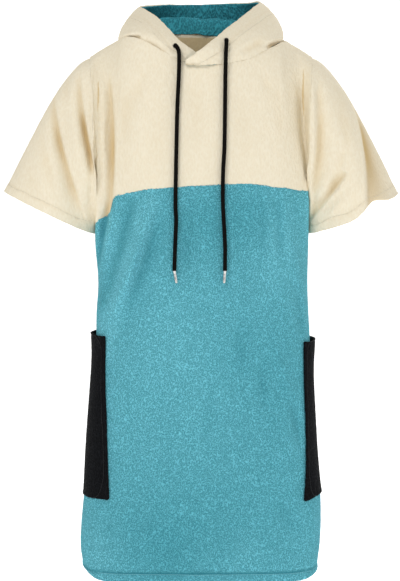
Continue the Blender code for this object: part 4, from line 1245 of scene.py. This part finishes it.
def braid(name, points, cords):
    """Round braid along points."""
    radius = cords.diameter / 2
    verts, crowns, faces = [], [], []
    first = (points[1] - points[0]).normalized().orthogonal().normalized()
    length = 0.0
    for k, point in enumerate(points):
        ahead = (points[min(k + 1, len(points) - 1)] - points[max(k - 1, 0)]).normalized()
        first = (first - ahead * first.dot(ahead)).normalized()
        second = ahead.cross(first)
        if k:
            length += (point - points[k - 1]).length
        lay = 2.0 * math.pi * length / cords.pitch
        for side in range(BRAID_SIDES):
            turn = 2.0 * math.pi * side / BRAID_SIDES
            strands = math.cos(cords.strands * (turn + lay)) * math.cos(cords.strands * (turn - lay))
            crown = 0.5 + 0.5 * strands
            reach = radius * (BRAID_FLOOR + BRAID_CROWN * crown)
            verts.append(point + first * (reach * math.cos(turn)) + second * (reach * math.sin(turn)))
            crowns.append(crown)
    for k in range(len(points) - 1):
        for side in range(BRAID_SIDES):
            low = k * BRAID_SIDES + side
            next_low = k * BRAID_SIDES + (side + 1) % BRAID_SIDES
            faces.append((low, next_low, next_low + BRAID_SIDES, low + BRAID_SIDES))
    faces.append(tuple(range(BRAID_SIDES))[::-1])
    faces.append(tuple(len(verts) - BRAID_SIDES + side for side in range(BRAID_SIDES)))
    cord = new_piece(name, verts, faces)
    keep_values(cord, "crown", crowns)
    return cord


def aglet(name, top, lean, cords):
    """Metal tip below a cord's end, drawn out ring by ring from its top."""
    select_none()
    radius = cords.aglet_diameter / 2
    bpy.ops.mesh.primitive_circle_add(vertices=24, radius=radius * AGLET_PROFILE[0][1], fill_type="NGON")
    tip = bpy.context.object
    tip.name = tip.data.name = name
    bpy.ops.object.mode_set(mode="EDIT")
    bpy.ops.mesh.select_all(action="SELECT")
    depth = 0.0
    wide = AGLET_PROFILE[0][1]
    for share, width in AGLET_PROFILE[1:]:
        step = share * cords.aglet_length - depth
        depth += step
        bpy.ops.mesh.extrude_region_move(TRANSFORM_OT_translate={"value": (0.0, 0.0, -step)})
        bpy.ops.transform.resize(value=(width / wide, width / wide, 1.0),
                                 center_override=(0.0, 0.0, -depth))
        wide = width
    bpy.ops.mesh.select_all(action="SELECT")
    bpy.ops.mesh.normals_make_consistent(inside=False)
    leave_edit()
    bpy.ops.object.shade_smooth_by_angle(angle=math.radians(35))
    tip.rotation_euler = lean.normalized().to_track_quat("-Z", "Y").to_euler()
    tip.location = top
    apply_place(tip)
    return tip


def buttonhole(name, spot, normal):
    """Oval ring of close stitches where a cord leaves the casing."""
    select_none()
    bpy.ops.mesh.primitive_torus_add(major_segments=2 * HOLE_STITCHES, minor_segments=10,
                                     major_radius=HOLE_RADIUS, minor_radius=HOLE_THREAD)
    ring = bpy.context.object
    ring.name = ring.data.name = name
    places = places_of(ring)
    turn = np.arctan2(places[:, 1], places[:, 0])
    places[:, :2] *= (1.0 + HOLE_RELIEF * np.sign(np.sin(turn * HOLE_STITCHES)))[:, None]
    places[:, 1] *= HOLE_LENGTH
    move_to(ring, places)
    ring.rotation_euler = normal.to_track_quat("Z", "Y").to_euler()
    ring.location = spot + normal * HOLE_LIFT
    apply_place(ring)
    bpy.ops.object.shade_smooth()
    declare(ring, finish("cream_thread"))
    return ring


# ---------------------------------------------------------------- stage
def lay_paper(height):
    """Floor at a height, swept up behind into the backdrop."""
    select_none()
    bpy.ops.mesh.primitive_plane_add(size=FLOOR_SIZE, location=(0.0, 0.0, height))
    floor = bpy.context.object
    floor.name = floor.data.name = "floor"
    apply_place(floor)
    points = floor.data.vertices
    edit_only("EDGE", floor.data.edges, lambda edge: all(points[v].co.y > 0.0 for v in edge.vertices))
    bpy.ops.mesh.extrude_region_move(TRANSFORM_OT_translate={"value": (0.0, 0.0, FLOOR_SIZE / 2)})
    leave_edit()
    curve = floor.modifiers.new("sweep", "BEVEL")
    curve.width = SWEEP
    curve.segments = 24
    apply_modifiers(floor)
    bpy.ops.object.shade_smooth()
    floor.data.materials.append(plain_stage("stage_paper", PAPER))


def light_studio(scene):
    """Even light all round, and the soft lights."""
    world = bpy.data.worlds.new("studio")
    world.use_nodes = True
    set_inputs(world.node_tree.nodes["Background"],
               {"Color": rgba((1.0, 1.0, 1.0)), "Strength": WORLD_LIGHT})
    scene.world = world
    for name, place, size, power in LIGHTS:
        light = bpy.data.lights.new(name, "AREA")
        light.size = size
        light.energy = power
        lamp = new_object(name, light)
        lamp.location = place
        lamp.rotation_euler = (LIGHTS_AIM - place).to_track_quat("-Z", "Y").to_euler()


def place_camera(scene, stage):
    """Camera in front of the garment, looking a little down."""
    lens = bpy.data.cameras.new("camera")
    lens.sensor_fit = "VERTICAL"
    lens.sensor_height = SENSOR
    lens.lens = SENSOR * CAMERA_FOCUS / CAMERA_PIXELS
    lens.shift_x = CAMERA_SHIFT / CAMERA_PIXELS
    camera = new_object("camera", lens)
    camera.location = (0.0, -stage.distance, stage.height)
    camera.rotation_euler = (math.pi / 2 - stage.tilt, 0.0, 0.0)
    scene.camera = camera


# ---------------------------------------------------------------- operators
def near_hem(middle, direction):
    """The lower panels' bottom edge."""
    return direction.z < -HEM_WAY and middle.z < HEM_Z + 0.01


def near_cuff(middle, direction):
    """A sleeve's open end."""
    outwards, upwards = CUFF_FACING
    outwards = math.copysign(outwards, middle.x)
    return direction.x * outwards + direction.z * upwards > CUFF_WAY and middle.z < CUFF_TOP


def near_rim(_middle, direction):
    """The hood's rim."""
    return direction.z > RIM_WAY


def near_pocket_seam(_middle, direction):
    """The edges of a pocket that are sewn down, all but its mouth."""
    return direction.z < MOUTH_WAY


class PONCHO_OT_panels(bpy.types.Operator):
    """Make the teal front and back panels and their stitched hem"""

    bl_idname = "poncho.panels"
    bl_label = "Lower Panels"

    def execute(self, context):
        stitching = context.scene.poncho_stitching
        for row in PANELS:
            piece, hem = make_cloth(row, hem=near_hem, hem_depth=stitching.hem)
            centre = Vector((0.0, 0.0, HEM_Z))
            sew_line(row[1] + "_hem_stitches", piece, hem, stitching.hem, centre, UP,
                     "teal_thread")
        return {"FINISHED"}


class PONCHO_OT_yokes(bpy.types.Operator):
    """Make the cream front and back yokes"""

    bl_idname = "poncho.yokes"
    bl_label = "Yokes"

    def execute(self, context):
        for row in YOKES:
            make_cloth(row, nap=2.4)
        return {"FINISHED"}


class PONCHO_OT_sleeves(bpy.types.Operator):
    """Make the sleeves and their stitched cuffs"""

    bl_idname = "poncho.sleeves"
    bl_label = "Sleeves"

    def execute(self, context):
        stitching = context.scene.poncho_stitching
        for row in SLEEVES:
            piece, hem = make_cloth(row, nap=2.4, hem=near_cuff, hem_depth=stitching.hem)
            centre = sum((m for m, _d in hem), Vector()) / len(hem)
            axis = sum((d for _m, d in hem), Vector()).normalized()
            sew_line(row[1] + "_cuff_stitches", piece, hem, stitching.hem, centre, axis,
                     "cream_thread")
        return {"FINISHED"}


class PONCHO_OT_hood(bpy.types.Operator):
    """Make the hood, its lining and the stitched casing round its rim"""

    bl_idname = "poncho.hood"
    bl_label = "Hood"

    def execute(self, context):
        stitching = context.scene.poncho_stitching
        for row in HOODS:
            piece, rim = make_cloth(row, hood=True, nap=1.8, hem=near_rim, hem_depth=stitching.casing)
            sew_line(row[1] + "_casing_stitches", piece, rim, stitching.casing, NECK_AXIS, UP,
                     "cream_thread")
        for row in LININGS:
            make_cloth(row, hood=True)
        return {"FINISHED"}


class PONCHO_OT_pockets(bpy.types.Operator):
    """Make the black side pockets, stitched down round three edges"""

    bl_idname = "poncho.pockets"
    bl_label = "Pockets"

    def execute(self, context):
        stitching = context.scene.poncho_stitching
        for row in POCKETS:
            piece, sewn = make_cloth(row, hem=near_pocket_seam, hem_depth=stitching.pocket_edge)
            low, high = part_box(row[0])
            centre = Vector((0.0, 0.0, 0.5 * (low.z + high.z)))
            sew_line(row[1] + "_stitches", piece, sewn, stitching.pocket_edge, centre,
                     Vector((1.0, 0.0, 0.0)), "black_thread", core=UP)
        return {"FINISHED"}


class PONCHO_OT_cords(bpy.types.Operator):
    """Make the braided drawcords, their buttonholes and their metal tips"""

    bl_idname = "poncho.cords"
    bl_label = "Drawcords"

    def execute(self, context):
        cords = context.scene.poncho_cords
        under = [bpy.data.objects[name] for name in
                 ("hood_left_cloth", "hood_right_cloth", "front_yoke_cloth", "front_panel")]
        for side, route in CORD_ROUTES.items():
            knots = [Vector(point) for point in route]
            hood = bpy.data.objects[f"hood_{side}_cloth"]
            _hit, spot, normal, _face = hood.closest_point_on_mesh(knots[0])
            ring = buttonhole(f"buttonhole_{side}", spot, normal)
            for knot in knots[FREE_KNOT:]:
                for cloth in under:
                    start = Vector((knot.x, AHEAD_Y, knot.z))
                    hit, place, _normal, _face = cloth.ray_cast(start, Vector((0.0, 1.0, 0.0)))
                    if hit:
                        knot.y = min(knot.y, place.y - cords.diameter / 2 - CORD_CLEAR)
            knots.insert(0, spot - normal * HOLE_DEPTH)
            points, length = soft_line(knots, CORD_STEP)
            cord = braid(f"cord_{side}", points, cords)
            tip = aglet(f"tip_{side}", points[-1] + UP * AGLET_GAP, AGLET_LEAN[side], cords)
            declare(cord, finish("black_cord"))
            declare(tip, finish("silver_metal"))
            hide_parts(f"drawcord_{side}")
            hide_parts(f"aglet_{side}")
        return {"FINISHED"}


class PONCHO_OT_stage(bpy.types.Operator):
    """Make the pale floor, the backdrop, the soft lights and the camera"""

    bl_idname = "poncho.stage"
    bl_label = "Stage"

    def execute(self, context):
        stage = context.scene.poncho_stage
        lay_paper(stage.floor_z)
        light_studio(context.scene)
        place_camera(context.scene, stage)
        context.scene.view_settings.view_transform = "Standard"
        return {"FINISHED"}


class PONCHO_PT_pieces(bpy.types.Panel):
    """Every piece of the poncho, in the order of making"""

    bl_idname = "PONCHO_PT_pieces"
    bl_label = "Hooded Bath Poncho"
    bl_space_type = "VIEW_3D"
    bl_region_type = "UI"
    bl_category = "Poncho"

    def draw(self, context):
        layout = self.layout
        for group in (context.scene.poncho_cloth, context.scene.poncho_stitching,
                      context.scene.poncho_cords, context.scene.poncho_stage):
            box = layout.box()
            for name in group.bl_rna.properties.keys():
                if name not in ("rna_type", "name"):
                    box.prop(group, name)
        for operator in OPERATORS:
            layout.operator(operator.bl_idname)


GROUPS = {
    "poncho_cloth": PonchoCloth,
    "poncho_stitching": PonchoStitching,
    "poncho_cords": PonchoCords,
    "poncho_stage": PonchoStage,
}
OPERATORS = (PONCHO_OT_stage, PONCHO_OT_panels, PONCHO_OT_yokes, PONCHO_OT_sleeves, PONCHO_OT_hood,
             PONCHO_OT_pockets, PONCHO_OT_cords)


def register():
    """Register the classes and put their values on the scene."""
    for name, group in GROUPS.items():
        bpy.utils.register_class(group)
        setattr(bpy.types.Scene, name, bpy.props.PointerProperty(type=group))
    for item in (*OPERATORS, PONCHO_PT_pieces):
        bpy.utils.register_class(item)


def unregister():
    """Take the classes and their values away again."""
    for item in (PONCHO_PT_pieces, *reversed(OPERATORS)):
        bpy.utils.unregister_class(item)
    for name, group in GROUPS.items():
        delattr(bpy.types.Scene, name)
        bpy.utils.unregister_class(group)


def main():
    """Make every piece."""
    register()
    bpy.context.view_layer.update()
    bpy.ops.poncho.stage()
    bpy.ops.poncho.panels()
    bpy.ops.poncho.yokes()
    bpy.ops.poncho.sleeves()
    bpy.ops.poncho.hood()
    bpy.ops.poncho.pockets()
    bpy.ops.poncho.cords()


if __name__ == "__main__":
    main()
